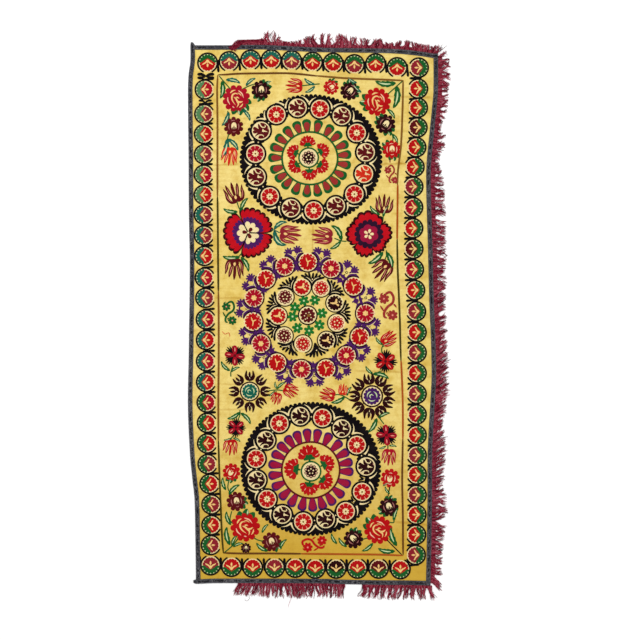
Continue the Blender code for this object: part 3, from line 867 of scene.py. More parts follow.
# Border of roundels, side by side: radius, turn, middles and the colours of the lobed and the green half.
# On the upright sides x follows a table of (y, x).
border = {
    "top": {"size": 35.4, "turn": 0,
            "places": [(-347, 843.8), (-275, 848.8), (-203, 853.8), (-134, 854.8), (-66, 851.8), (4, 846.8),
                       (73, 843.8), (144, 838.8), (215, 841.8), (287, 828.8)],
            "reds": "red dusty red red dusty red red dusty red red",
            "greens": ["green"] + ["teal"] * 4 + ["green"] * 5},
    "left": {"size": 34.6, "turn": 90,
             "x": [(-770, -336), (-640, -334), (-570, -340), (-500, -347), (-300, -350), (-225, -352),
                   (-15, -353), (250, -359), (600, -359), (784, -356)],
             "y": [755, 673, 606, 538, 470, 403, 336, 267, 198, 126, 58, -14, -83, -154, -224, -292, -360,
                   -429, -498, -564, -633, -702, -769],
             "reds": "crimson dusty red dusty crimson red dusty dusty red crimson dusty crimson "
                     "red crimson red crimson red red dusty red dusty red dusty",
             "greens": ["sage"] * 6 + ["teal"] * 9 + ["green"] * 8},
    "right": {"size": 34.9, "turn": -90,
              "x": [(-802, 349), (-600, 352), (-263, 352), (-57, 352), (13, 350), (84, 347), (153, 343),
                    (222, 341), (430, 341), (496, 345), (563, 351), (629, 355), (760, 357), (828, 359)],
              "y": [828, 758, 694, 628, 562, 496, 430, 361, 291, 222, 153, 84, 13, -57, -125, -194, -263,
                    -332, -401, -468, -533, -601, -667, -734, -802],
              "reds": "dusty red red maroon red red dusty crimson red maroon crimson red "
                      "dusty red dusty red dusty crimson red dusty red dusty red red dusty",
              "greens": ["green"] * 25},
    "bottom": {"size": 35.4, "turn": 180,
               "places": [(-337, -836), (-267, -841), (-196, -844), (-123, -844), (-54, -844), (13, -847),
                          (83, -847), (154, -847), (225, -847), (298, -849)],
               "reds": "dusty red red dusty red red darkMaroon red maroon red", "greens": ["green"] * 10},
}
gapLeaves = [(-353, 800, 2.6, 5.6), (-355, 712, 2.0, 4.2)]  # at the left: place, reach, half width


def makeBorder():
    for side, look in border.items():
        work = newWork("border_" + side)
        upright = [(float(tableCurve(look["x"], y)), y) for y in look.get("y", ())]
        places = look.get("places", upright)
        for (x, y), red, green in zip(places, look["reds"].split(), look["greens"]):
            borderRoundel(work, (x, y, look["turn"], look["size"]), red, green)
        for x, y, reach, half in gapLeaves if side == "left" else ():
            for dx, dy in ((-11, 6), (-11, -6), (11, 6), (11, -6)):
                row = [(0, 0), (dx * 0.5 * reach, dy), (dx * reach, dy * 0.9)]
                stroke(work, (x, y, 0, 1), row, half, "black", 1.4, drop, 8)
        makePiece(work, materials)


makeBorder()


# Thin line round the field
frameLine = {
    "half": 3.3,
    "spans": [
        ("brown", [(-313, 804), (-286, 805), (-239, 808), (-165, 809), (-72, 809), (22, 800)]),
        ("ochre", [(15, 801), (62, 797), (112, 793), (183, 790), (243, 788), (307, 785)]),
        ("ochre", [(307, 787), (305, 687), (300, 570), (290, 486), (288, 433)]),
        ("rust", [(289, 439), (288, 336), (287, 252)]),
        ("olive", [(287, 259), (289, 152), (292, 85), (296, -16), (298, -99), (300, -156)]),
        ("rust", [(300, -150), (304, -233), (306, -317), (306, -417)]),
        ("brown", [(306, -411), (304, -551), (306, -668), (307, -804)]),
        ("rust", [(307, -804), (230, -801), (163, -800), (62, -799), (-38, -798)]),
        ("brown", [(-31, -798), (-139, -797), (-239, -797), (-294, -795)]),
        ("olive", [(-294, -797), (-299, -735), (-304, -618), (-308, -518), (-311, -417)]),
        ("ochre", [(-311, -424), (-311, -283), (-310, -150), (-310, -16), (-311, 85)]),
        ("olive", [(-311, 78), (-312, 185), (-313, 319), (-314, 399)]),
        ("ochre", [(-314, 392), (-314, 520), (-314, 653), (-315, 754), (-313, 805)]),
    ],
}


def makeFrameLine():
    work = newWork("field_outline")
    for thread, points in frameLine["spans"]:
        stem(work, points, thread, frameLine["half"], 1)
    makePiece(work, materials)


makeFrameLine()


# Top and bottom medallions. Red roundels have a star, the others a flower head.
topMedallion = {
    "name": "top_medallion", "middle": (-1, 521), "radii": (239.5, 219.0), "teeth": 90,
    "roundels": [(-117, 671), (-46, 694), (29, 690), (102, 667), (152, 610), (182, 545), (176, 473),
                 (144, 405), (82, 366), (8, 350), (-68, 358), (-139, 397), (-184, 463), (-187, 540),
                 (-168, 617)],
    "colours": "red maroon red maroon red maroon orange red maroon red maroon red maroon crimson maroon",
    "dropMiddle": (-5, 525), "dropRadii": ((93.0, 88.0), (140.0, 131.5)),
    "dropAngles": (5.6, 21.5, 39.3, 56.1, 76, 95.3, 111.6, 129.3, 146.7, 162.8, 179.2, 197.4, 212.8, 228,
                   246.2, 265.1, 283, 300.8, 316.9, 332.2, 349.6),
    "dropOuter": "green", "dropInner": "brick", "innerRing": "green",
    "dropHalf": 15.4, "dropPart": (0.06, 0.77), "dropInnerHalf": 10.0,
    "carnations": [(94, 38, 36.5), (27, 39, 36.5), (-33, 39, 36.5), (-87, 39, 36.5), (-149, 40, 36.5),
                   (160, 40, 36.5)],
    "heart": (-9, 527), "heartRing": "green",
}
bottomMedallion = {
    "name": "bottom_medallion", "middle": (-2, -514), "radii": (236.0, 225.0), "teeth": 92,
    "roundels": [(-107, -362), (-37, -337), (37, -343), (102, -379), (152, -434), (184, -506), (170, -591),
                 (115, -656), (48, -682), (-27, -691), (-97, -667), (-148, -615), (-182, -551), (-185, -480),
                 (-152, -418)],
    "colours": "red darkMaroon " * 3 + "red " + "red darkMaroon " * 4,
    "dropMiddle": (-2, -518), "dropRadii": ((97.0, 94.0), (144.0, 140.0)),
    "dropAngles": (-2.4, 11.4, 26.6, 43.4, 62, 79.5, 95.6, 111.4, 126, 141, 156, 171.7, 188, 205, 223, 239.8,
                   256.7, 273, 288.3, 304, 321, 339.2),
    "dropOuter": "purple", "dropInner": "magenta", "innerRing": "maroon",
    "dropHalf": 15.6, "dropPart": (0.03, 0.86), "dropInnerHalf": 10.8,
    "carnations": [(98, 39, 50), (27, 42, 43), (-36, 42, 42), (-97, 38, 43), (172, 43, 48)],
    "heart": (-1, -522), "heartRing": "green",
}
roundelSize = 36.0


def makeRoundMedallion(look):
    work = newWork(look["name"])
    middle = mx, my = look["middle"]
    rx, ry = look["radii"]
    gap = roundelSize * 0.97

    def outer(a):  # toothed
        return ellipse(a, rx, ry) - 7.6 * (1 - np.abs(np.sin(a * look["teeth"] / 2)) ** 0.6)

    def inner(a):  # far side of the roundels, with a narrow gap
        best = np.zeros_like(a)
        for x, y in look["roundels"]:
            reach = (x - mx) * np.cos(a) + (y - my) * np.sin(a)
            side = (x - mx) * np.sin(a) - (y - my) * np.cos(a)
            far = np.maximum(best, reach + np.sqrt(np.clip(gap * gap - side * side, 0, None)))
            best = np.where((np.abs(side) < gap) & (reach > 0), far, best)
        return np.minimum(np.maximum(best, np.hypot(rx, ry) / math.sqrt(2) * 0.8), outer(a) - 4.0)

    patch(work, (mx, my, 0, 1.0), outer, "black", 1, inner=inner, steps=look["teeth"] * 8)
    for (x, y), thread in zip(look["roundels"], look["colours"].split()):
        spot = outward(x, y, middle, roundelSize)
        (starRoundel if thread in ("red", "crimson") else tulipRoundel)(work, spot, thread)
        for s in (-1, 1):  # pale crescents between the ring and the toothed band
            stroke(work, spot, arc(1.12, 78 * s, 28 * s, 8), 0.088, "cream", 3, wedge, 13)
    for joint, _ in joints(look["roundels"], middle):  # ticks where two roundels meet
        for s in (-1, 1):
            stroke(work, joint, [(4, 0), (-10, 3 * s), (-19, 9 * s)], 3.2, "black", 1, drop, 6)
        stroke(work, joint, [(12, 0), (-12, 0)], 3.4, "black", 1, band, 5)
        patch(work, (*joint[:2], 0, 2.3), 1.0, "cream", 3, steps=8)
    dx, dy = look["dropMiddle"]
    nearRadii, farRadii = look["dropRadii"]
    first, last = look["dropPart"]
    for angle in look["dropAngles"]:
        near = ellipse(math.radians(angle), *nearRadii)
        deep = ellipse(math.radians(angle), *farRadii) - near
        spot = (dx, dy, angle, 1.0)
        stroke(work, spot, [(near, 0), (near + deep, 0)],
               look["dropHalf"], look["dropOuter"], 1, fullDrop, 13)
        stroke(work, spot, [(near + first * deep, 0), (near + last * deep, 0)], look["dropInnerHalf"],
               look["dropInner"], 2, drop, 12)
    patch(work, (dx, dy, 0, 1.0), lambda a: ellipse(a, *nearRadii) + 3, look["innerRing"], 2,
          inner=lambda a: ellipse(a, *nearRadii) - 3, steps=80)
    heart = (*look["heart"], 0, 1.0)
    for angle, away, size in look["carnations"]:
        carnation(work, around(heart, angle, away, size))
    ringed(work, around(heart, 0, 0, 34.0), look["heartRing"], 0.125)
    clusterRoundel(work, around(heart, 0, 0, 30.5), "darkMaroon", None)
    makePiece(work, materials)


makeRoundMedallion(topMedallion)
makeRoundMedallion(bottomMedallion)


# Middle medallion
middleMedallion = {
    "middle": (-8, -2),
    "outerSize": 34.5,
    "outer": [(-12, 178), (66, 156), (141, 97), (181, 6), (162, -72), (117, -135), (49, -179), (-33, -181),
              (-115, -159), (-169, -95), (-195, -21), (-192, 58), (-152, 121), (-89, 164)],
    "innerSize": 31.5,
    "inner": [(-31, 94), (33, 91), (79, 41), (85, -26), (51, -84),
              (-28, -96), (-91, -69), (-111, -2), (-88, 61)],
    "innerKinds": "paisley cluster paisley cluster paisley cluster cluster paisley cluster",
    "innerColours": "red red darkMaroon red darkMaroon red maroon red maroon",
    "florets": [(105, 50), (65, 56), (8, 48), (-40, 51), (-85, 52), (-129, 55), (-175, 51), (149, 50)],
    "heart": (-12, 0),
    "heartDots": [(-6, 6), (-2, -10), (9, 2), (-11, -2), (4, 9), (11, -8), (-8, -13)],
}


def twig(spot, px, py, turn):  # place and turn of something at a point of a spot
    x, y = placed(spot, px, py)
    return float(x), float(y), spot[2] + turn


def crescent(work, spot, way, first, last, rise, steps):  # purple, beside a ring
    def edge(a):
        return 1.05 + rise * np.clip(np.sin(np.pi * (np.degrees(a) * way - first) / (last - first)), 0, 1)
    patch(work, spot, edge, "purple", 1.2, inner=1.02, start=first * way, end=last * way, steps=steps)


def makeMiddleMedallion():
    look = middleMedallion
    work = newWork("middle_medallion")
    middle = look["middle"]
    for k, (x, y) in enumerate(look["outer"]):
        spot = outward(x, y, middle, look["outerSize"])
        if k % 2:
            flareRoundel(work, spot, "crimson")
        else:
            triSpokeRoundel(work, spot, "red")
        patch(work, spot, 1.04, "darkMaroon", 1, inner=0.9, start=24, end=336, steps=44)
        for s in (-1, 1):
            crescent(work, spot, s, 26, 100, 0.19, 16)
            crescent(work, spot, s, 98, 150, 0.15, 12)
            stroke(work, spot, arc(1.24, 38 * s, 82 * s, 7), 0.036, "cream", 2.6, leaf, 10)
    for joint, distance in joints(look["outer"], middle):  # purple sprigs between two roundels
        for s in (-1, 1):
            sprig(work, *twig(joint, 43, 14.8 * s, 20 * s), 15.8, "purple", 6)
            stroke(work, joint, [(26, 8 * s), (43, 14.8 * s)], 2.4, "purple", 1, band, 5)
        patch(work, around(joint, 0, 22, 5.2), lobed(1.0, 4, 0.35), "darkMaroon", 1.3, inner=0.5, steps=24)
        patch(work, around(joint, 0, 4, 6.5), 1.0, "purple", 1.3, steps=10)
        wide = distance / 2 - 0.72 * look["outerSize"]
        stroke(work, joint, [(6, -wide), (3, 0), (6, wide)], 4.6, "purple", 1.25, leaf, 8)
        patch(work, around(joint, 0, 12, 2.0), 1.0, "darkMaroon", 1.4, steps=8)
        sprig(work, *twig(joint, -12, 0, 180), 13.0, "purple", 3)
    for (x, y), kind, thread in zip(look["inner"], look["innerKinds"].split(), look["innerColours"].split()):
        spot = outward(x, y, middle, look["innerSize"])
        (paisleyRoundel if kind == "paisley" else clusterRoundel)(work, spot, thread)
        patch(work, spot, 1.04, "black", 1, inner=0.92, start=24, end=336, steps=44)
        for s in (-1, 1):  # pale line outside the ring
            stroke(work, spot, arc(1.15, 34 * s, 86 * s, 7), 0.04, "cream", 2.6, leaf, 11)
    for joint, _ in joints(look["inner"], middle):  # fans of black leaves that follow both rings
        stroke(work, joint, [(6, 0), (24, 0), (50, -1)], 4.3, "black", 1.2, drop, 9)
        for s in (-1, 1):
            stroke(work, joint, [(2, 0), (14, 4 * s), (27, 14 * s), (34, 30 * s)], 3.4, "black", 1, band, 14)
            lines(work, joint, [[(22, 4 * s), (36, 10 * s), (50, 14 * s)],
                                [(24, 9 * s), (36, 19 * s), (46, 27 * s)],
                                [(26, 14 * s), (33, 26 * s), (38, 40 * s)]], 4.2, "black", 1.3, drop, 9)
        patch(work, around(joint, 0, 24, 9.0), 1.0, "black", 1, steps=12)
        patch(work, around(joint, 0, 28, 2.4), 1.0, "cream", 3, steps=8)
    hx, hy = look["heart"]
    for angle, away in look["florets"]:
        x, y = around((hx, hy, 0, 1.0), angle, away)[:2]
        floret(work, x, y, angle, 18.5, "grass")
        for s in (-1, 1):
            stroke(work, (hx, hy, angle, 1.0), [(34, 3.5 * s), (away - 10, 4.5 * s)],
                   1.3, "green", 1, leaf, 5)
    ringed(work, (hx, hy, 0, 32.5), "black", 0.11)
    patch(work, (hx, hy, 0, 27.5), lobed(1.0, 11, 0.22), "maroon", 1, steps=66)
    patch(work, (hx + 3, hy - 1, 0, 6.0), lobed(1.0, 4, 0.4), "ochre", 3, steps=24)
    for dx, dy in look["heartDots"]:
        patch(work, (hx + dx, hy + dy, 0, 2.3), 1.0, "cream", 3, steps=7)
    makePiece(work, materials)


makeMiddleMedallion()


# Flowers of the field. Turn is the way a flower opens or a leaf points, anticlockwise from the right.
roses = [  # place, turn, radius, colour, angles of the green lobes behind
    (-251, 724, 0, 45, "crimson", (-48, -80)), (219, 714, -12, 46, "red", (190,)),
    (-221, -708, 20, 48, "red", (60,)), (224, -718, 25, 46, "red", (105,)),
    (-168, 753, 0, 32, "darkMaroon", (42, -110)), (-260, 631, 0, 32, "maroon", ()),
    (128, 750, -40, 31, "darkMaroon", (130, 30)), (248, 639, -35, 33, "darkMaroon", (170, -35)),
    (-251, -623, 10, 32, "maroon", (-25,)), (-133, -758, 20, 32, "maroon", (-60,)),
    (259, -641, 20, 32, "darkMaroon", (50, 190)), (141, -748, 50, 32, "darkMaroon", (20,)),
    (66, 763, -60, 25, "red", (125,)), (269, 554, 0, 31, "red", (140, -80)),
    (-267, -525, 150, 29, "red", (110,)), (264, -545, 170, 31, "red", ()),
    (-219, -779, 0, 17, "darkMaroon", ()),
]
tulips = [  # place of the middle, turn, length, colour, spread
    (-59, 767, 180, 55, "red", 0.9), (-273, 530, 268, 60, "orange", 0.9),
    (-260, 411, 112, 68, "maroon", 1.0), (-68, 271, -3, 70, "dusty", 0.88),
    (35, 265, 176, 68, "dusty", 0.85), (-256, 153, 272, 68, "maroon", 0.95),
    (243, 374, 92, 62, "maroon", 1.0), (236, 148, 232, 70, "maroon", 0.95),
    (261, -77, 38, 56, "red", 0.8), (-67, -253, -25, 50, "red", 0.9), (-117, -280, 255, 40, "red", 0.9),
    (52, -265, 165, 52, "red", 0.85), (106, -247, 85, 38, "orange", 0.85),
    (-270, -443, 268, 52, "red", 0.95), (260, -476, 268, 54, "crimson", 0.9),
]
leaves = [  # root, turn, length, colour unless green, and how far it curves unless as usual
    (-286, 787, -16, 50, "teal"), (-299, 784, -98, 60), (-219, 767, 35, 42, "teal"),
    (-152, 774, 20, 20, "teal"), (-229, 687, 300, 44, "teal"), (-276, 680, 240, 52, "teal"),
    (12, 771, 145, 42, "teal"), (12, 767, 210, 40, "teal"), (153, 777, 145, 36, "teal"),
    (166, 747, 130, 40, "teal"), (283, 777, 172, 70), (286, 767, 258, 76),
    (253, 690, 305, 42), (270, 607, 295, 38), (-282, 590, 250, 66, "teal"),
    (-279, 590, 308, 52, "teal"), (-246, 346, 165, 50), (-236, 349, 58, 50),
    (-125, 287, 25, 50, "teal", 0.2), (-124, 284, 315, 64, "teal", -0.28),
    (101, 250, 129, 61, "green", -0.2), (99, 249, 213, 46), (-239, 195, 175, 58),
    (-236, 195, -65, 56), (230, 336, 135, 46), (240, 329, 60, 42),
    (240, 212, 215, 64), (250, 212, 285, 62), (240, -99, 130, 36),
    (236, -106, 20, 30), (-272, -186, 130, 44), (-269, -190, 25, 34),
    (206, -196, 130, 36), (206, -196, -20, 56), (-115, -247, 100, 26),
    (-115, -247, 35, 36), (-122, -253, 215, 28), (112, -273, 200, 50),
    (119, -270, 60, 34), (-239, -324, 205, 48), (-236, -327, 308, 50),
    (219, -344, 235, 56), (223, -344, 20, 44), (-266, -411, 190, 28),
    (-262, -411, 330, 28), (250, -437, 195, 26), (260, -437, -10, 26),
    (-286, -585, 100, 44), (-276, -601, 40, 50), (-269, -702, 105, 48),
    (-272, -769, 97, 62), (-266, -772, 60, 40), (-262, -775, 15, 36),
    (-165, -728, 50, 36), (-145, -789, 142, 48), (-105, -782, 52, 40),
    (86, -765, 115, 40), (119, -775, 128, 42), (206, -762, 213, 46),
    (280, -789, 168, 58), (286, -772, 105, 68), (276, -688, 68, 46),
    (263, -598, 120, 30), (240, -571, 20, 26, "teal"),
]
stems = {  # joined points
    "green": [[(-309, 801), (-286, 774), (-266, 751)], [(306, 784), (280, 761), (250, 734)],
              [(-292, -795), (-262, -769), (-239, -738)], [(-35, 767), (-1, 771), (29, 774)],
              [(-239, 751), (-215, 764), (-189, 774)], [(-279, 684), (-282, 660), (-286, 647)],
              [(-276, 607), (-282, 580), (-276, 560)], [(266, 617), (273, 593), (270, 577)],
              [(119, 247), (99, 249), (76, 258)], [(-249, 382), (-242, 359), (-229, 339)],
              [(240, 349), (240, 319)], [(-232, 208), (-246, 192), (-252, 182)],
              [(250, 218), (253, 205), (246, 185)], [(246, -93), (236, -109), (236, -126)],
              [(-262, -170), (-269, -190), (-269, -206)], [(233, -186), (203, -203), (199, -216)],
              [(-239, -317), (-239, -334), (-246, -350)], [(219, -334), (230, -347), (243, -364)],
              [(-259, -401), (-269, -414), (-269, -424)], [(256, -431), (256, -447)],
              [(-276, -551), (-279, -578), (-269, -598)], [(273, -665), (276, -692), (260, -692)],
              [(-145, -253), (-115, -250), (-92, -253)], [(72, -267), (99, -267), (136, -287)],
              [(109, -267), (106, -253)], [(-266, -655), (-272, -685), (-259, -698)],
              [(-199, -740), (-179, -752), (-155, -757)], [(163, -752), (189, -745)],
              [(-118, -253), (-118, -263)]],
    "black": [[(303, -802), (273, -772), (240, -738)], [(263, -571), (256, -608)]],
    "dusty": [[(263, 526), (263, 510)]],
    "teal": [[(-134, 287), (-122, 284), (-105, 275)]],
}


def makeFieldFlowers():
    work = newWork("field_leaves")
    for row in leaves:
        greenLeaf(work, *row)
    for thread, rows in stems.items():
        for points in rows:
            stem(work, points, thread, 2.0)
    makePiece(work, materials)
    work = newWork("field_roses")
    for row in roses:
        rose(work, *row)
    makePiece(work, materials)
    work = newWork("field_tulips")
    for x, y, turn, length, thread, spread in tulips:
        tulip(work, around((x, y, 0, 1.0), turn, -0.5 * length, length), thread, spread)
    makePiece(work, materials)


makeFieldFlowers()


largeFlowers = {
    "left": (-211, 276), "leftSize": 84.0, "sectors": [(-1, 116), (119, 246), (249, 358)],
    "right": (192, 271), "rightSize": 78.5,
    "lobes": [(92, 54, 1.0), (180, 38, 0.98), (252, 32, 1.0), (312, 26, 0.94), (4, 32, 1.0)],
}


def makeLargeFlowers():
    look = largeFlowers
    work = newWork("large_flowers")
    spot = (*look["left"], 0, look["leftSize"])

    def sector(radius, first, last, knobs, depth):
        def edge(a):
            t = np.clip((np.degrees(a) - first) / (last - first), 0, 1)
            ends = np.clip(np.minimum(t, 1 - t) * (last - first) / 13.0, 0, 1)
            knob = 1 - depth + depth * np.abs(np.sin(math.pi * knobs * t)) ** 0.5
            return radius * knob * (0.8 + 0.2 * np.sqrt(1 - (1 - ends) ** 2))
        return edge

    for first, last in look["sectors"]:
        inner = (first + 2, last - 2)
        patch(work, spot, sector(1.02, first, last, 8, 0.08),
              "darkMaroon", 1, start=first, end=last, steps=72)
        for radius, knobs, depth, thread in ((0.94, 8, 0.09, "scarlet"), (0.68, 8, 0.12, "purple"),
                                             (0.47, 3, 0.3, "cream")):
            patch(work, spot, sector(radius, *inner, knobs, depth), thread,
                  2 + (radius < 0.9) + (radius < 0.5), start=inner[0], end=inner[1], steps=64)
    for angle in (52, 172, 292):
        stroke(work, around(spot, angle), [(0.04, 0), (0.24, 0)], 0.075, "maroon", 6, drop, 7)
    for first, _ in look["sectors"]:
        stroke(work, around(spot, first - 1.5), [(0.04, 0), (0.8, 0)], 0.028, "black", 6, wedge)
    spot = (*look["right"], 0, look["rightSize"])

    def broad(radius, depth, knobs):
        def edge(a):
            degrees = np.degrees(a)
            reach = np.zeros_like(a)
            for middle, half, size in look["lobes"]:
                off = (degrees - middle + 180) % 360 - 180
                share = np.clip(np.abs(off) / half, 0, 1)
                knob = 1 - depth * (1 - np.abs(np.cos(knobs * off * math.pi / half / 2)) ** 0.5)
                dome = 0.74 + 0.26 * np.sqrt(1 - share ** 2)
                reach = np.maximum(reach, size * knob * dome * (np.abs(off) <= half))
            return radius * np.maximum(reach, 0.7)
        return edge

    patch(work, spot, broad(1.03, 0.11, 5), "darkMaroon", 1, steps=220)
    patch(work, spot, lambda a: broad(1.02, 0.12, 5)(a) - 0.075, "scarlet", 2, steps=220)
    patch(work, spot, lobed(0.66, 15, 0.14), "aubergine", 3, steps=105)
    patch(work, spot, lobed(0.44, 6, 0.26, 10), "magenta", 4, steps=54)
    for angle in (144, 220, 282, 338, 37):  # dark lines that part the lobes
        stroke(work, around(spot, angle), [(0.9, 0), (0.64, 0)], 0.04, "darkMaroon", 3, wedge, 6)
    petals(work, spot, 5, 0.05, 0.22, 0.065, "cream", 5, start=75)
    patch(work, spot, 0.04, "black", 6, steps=7)
    makePiece(work, materials)

    work = newWork("spray_flowers")
    for (x, y), turn, size in (((-256, -135), -3, 35), ((248, -154), 38, 37), ((-252, -376), 42, 31),
                               ((251, -401), 2, 36)):
        fourPetal(work, x, y, turn, size, "red" if turn == 38 else "crimson")
    for (x, y), heart, claws, turn, size in (((-206, -255), "teal", 8, 90, 33),
                                             ((203, -271), "violet", 9, 100, 37)):
        clawSun(work, x, y, turn, size, heart, claws)
    makePiece(work, materials)
    work = newWork("scrolls")
    for (x, y), turn, size, thread, bloom in (((-276, 9), 0, 33.5, "green", 0.45),
                                              ((255, 32), 4, 41, "brick", 0.44),
                                              ((266, 471), 12, 27, "brick", 0.46),
                                              ((8, -767), 92, 35, "red", 0.48)):
        scroll(work, x, y, turn, size, thread, bloom)
    stem(work, [(-299, -53), (-289, -63), (-276, -59), (-272, -73)], "orange", 1.0)
    makePiece(work, materials)


makeLargeFlowers()


# Braid round the edge
braid = {
    "width": 15.2,
    "turn": 1.3,  # thickness of the fold beside the edge
    "lift": 1.7,  # its underside on the cloth
    "thickness": 1.25,
    "tipAbove": 10.0,  # the point at the top left corner
    "endBeside": 9.0,  # the end at the bottom left corner
    "step": 4.0,
    "strand": 3.1,
    "lane": 5.1,
    "fleck": 2.6,
    "grey": (74, 74, 80),
    # dark strands and worn patches, and also the painted shade between strands
    "dark": (22, 22, 26),
    "pale": (132, 130, 132),
}


def braidMaterial():
    nodes = Nodes("dark_braid")
    along, across = nodes.stitchPlace()
    place = nodes.place()
    middle = nodes.apart(across, braid["width"] / 2)
    strand = nodes.over(nodes.plus(along, nodes.times(middle, 0.9)), braid["strand"])
    inStrand = nodes.fromMiddle(strand)
    height = nodes.hump(inStrand, 3.2)
    ply = nodes.whole(strand)
    lane = nodes.whole(nodes.over(across, braid["lane"]))
    cell = nodes.add("ShaderNodeCombineXYZ", {0: nodes.whole(nodes.over(ply, 3.0)), 1: lane})
    pick = nodes.add("ShaderNodeTexWhiteNoise", {"Vector": cell}, noise_dimensions="3D")
    fleckLane = nodes.whole(nodes.over(across, braid["fleck"]))
    fleckCell = nodes.add("ShaderNodeCombineXYZ", {0: ply, 1: fleckLane})
    fleck = nodes.add("ShaderNodeTexWhiteNoise", {"Vector": fleckCell}, noise_dimensions="3D")
    dash = nodes.times(nodes.ramp(pick, 0.36, 0.42), nodes.ramp(middle, 3.6, 2.6))
    wear = nodes.noise(place, 14.0, 3.0)
    grey = linear(braid["grey"])
    dark = linear(braid["dark"])
    body = nodes.mix(dash, grey, dark)
    body = nodes.mix(nodes.ramp(fleck, 0.72, 0.86, 0.0, 0.6), body, linear(braid["pale"]))
    body = nodes.mix(nodes.ramp(wear, 0.35, 0.7, 0.35, 0.0), body, dark)
    # painted shade: darker in the hollows between the strands of the braid
    body = nodes.mix(nodes.ramp(height, 0.2, 0.8, 0.65, 0.0), body, dark)
    fibre = nodes.noise(place, 1100.0, 2.0)
    return nodes.finish(body, nodes.plus(height, nodes.times(fibre, 0.3)), 0.0006,
                        nodes.ramp(fibre, 0.3, 0.7, 0.7, 0.9), sheen=0.05)


def edgeRun(side, start, end, step):
    count = max(2, int(abs(end - start) / step))
    along = np.linspace(start, end, count + 1)
    x, y = edgePoint(side, along)
    nx, ny = edgeNormal(side, along)
    return np.stack([x, y, nx, ny, np.ones_like(x)], axis=-1)


def cornerOf(sideX, sideY):
    y = cloth["length"] / 2 * (1 if sideY == "top" else -1)
    for _ in range(4):
        x = float(edgePoint(sideX, y)[0])
        y = float(edgePoint(sideY, x)[1])
    return x, y


def addSwept(work, run, section, thread, wobble=None):  # section: distance outwards and height, all round
    section = np.array(section + section[:1], float)
    x, y, nx, ny, share = (run[:, k][:, None] for k in range(5))
    out, high = section[:, 0][None, :] * share, np.repeat(section[:, 1][None, :], len(run), axis=0)
    gx, gy = x + nx * out, y + ny * out
    if wobble is not None:
        high = high + wobble[:, None] * (section[:, 1] > 1.5)[None, :]
    length = np.concatenate([[0], np.cumsum(np.hypot(np.diff(run[:, 0]), np.diff(run[:, 1])))])
    u = np.repeat(length[:, None], len(section), axis=1)
    v = np.repeat((-section[:, 0])[None, :], len(run), axis=0)
    for end in (0, -1):  # close each end
        cap = [np.full(len(section), a[end].mean())[None, :] for a in (gx, gy, high)]
        rows = [cap[0], cap[1], cap[2], u[end][None, :], v[end][None, :]]
        joined = [np.concatenate([r, a] if end == 0 else [a, r]) for r, a in zip(rows, (gx, gy, high, u, v))]
        gx, gy, high, u, v = joined
    addGrid(work, gx, gy, high, u, v, thread)


def closeUp(piece):  # weld the seams of swept pieces and turn their faces outwards
    body = bmesh.new()
    body.from_mesh(piece.data)
    bmesh.ops.remove_doubles(body, verts=body.verts, dist=1e-6)
    bmesh.ops.recalc_face_normals(body, faces=body.faces)
    body.to_mesh(piece.data)
    body.free()


def makeBinding():
    material = braidMaterial()
    low, high, w = braid["lift"], braid["lift"] + braid["thickness"], braid["width"]
    section = [(0.0, 0.1), (0.15, 0.9), (0.05, high - 0.9), (-0.5, high - 0.25), (-1.6, high),
               (-w * 0.32, high + 0.12), (-w * 0.5, high - 0.12), (-w * 0.68, high + 0.12),
               (-w + 1.4, high), (-w + 0.3, high - 0.35), (-w, low + 0.35), (-w + 0.5, low),
               (-braid["turn"], low), (-braid["turn"], 0.1)]
    butt = w + 0.6
    (lx, ty), (rx, ry) = cornerOf("left", "top"), cornerOf("right", "top")
    (bx, by), (qx, qy) = cornerOf("left", "bottom"), cornerOf("right", "bottom")
    tip = np.array([[lx + 1.5, ty + braid["tipAbove"], -1, 0, 0.45], [lx + 0.7, ty + 5.0, -1, 0.0, 0.75]])
    end = np.array([[bx - 4.5, by + 1.2, 0, -1, 0.8], [bx - braid["endBeside"], by + 4, 0, -1, 0.5]])
    runs = {
        "left": np.concatenate([tip, edgeRun("left", ty, by + butt, braid["step"])]),
        "top": edgeRun("top", lx + butt, rx, braid["step"]),
        "right": edgeRun("right", ry - butt, qy, braid["step"]),
        "bottom": np.concatenate([edgeRun("bottom", qx - butt, bx, braid["step"]), end]),
    }
    for side, run in runs.items():
        rng = np.random.default_rng(len(side))
        knots = np.arange(0, len(run) + 6, 6)
        wobble = np.interp(np.arange(len(run)), knots,
                           rng.uniform(-0.12, 0.2, len(run) // 6 + 2)[:len(knots)])
        work = newWork("braid_" + side)
        work["faceUp"] = False
        addSwept(work, run, section, "braid", wobble)
        piece = makePiece(work, {"braid": material})
        closeUp(piece)
        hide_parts("binding_" + side)


makeBinding()


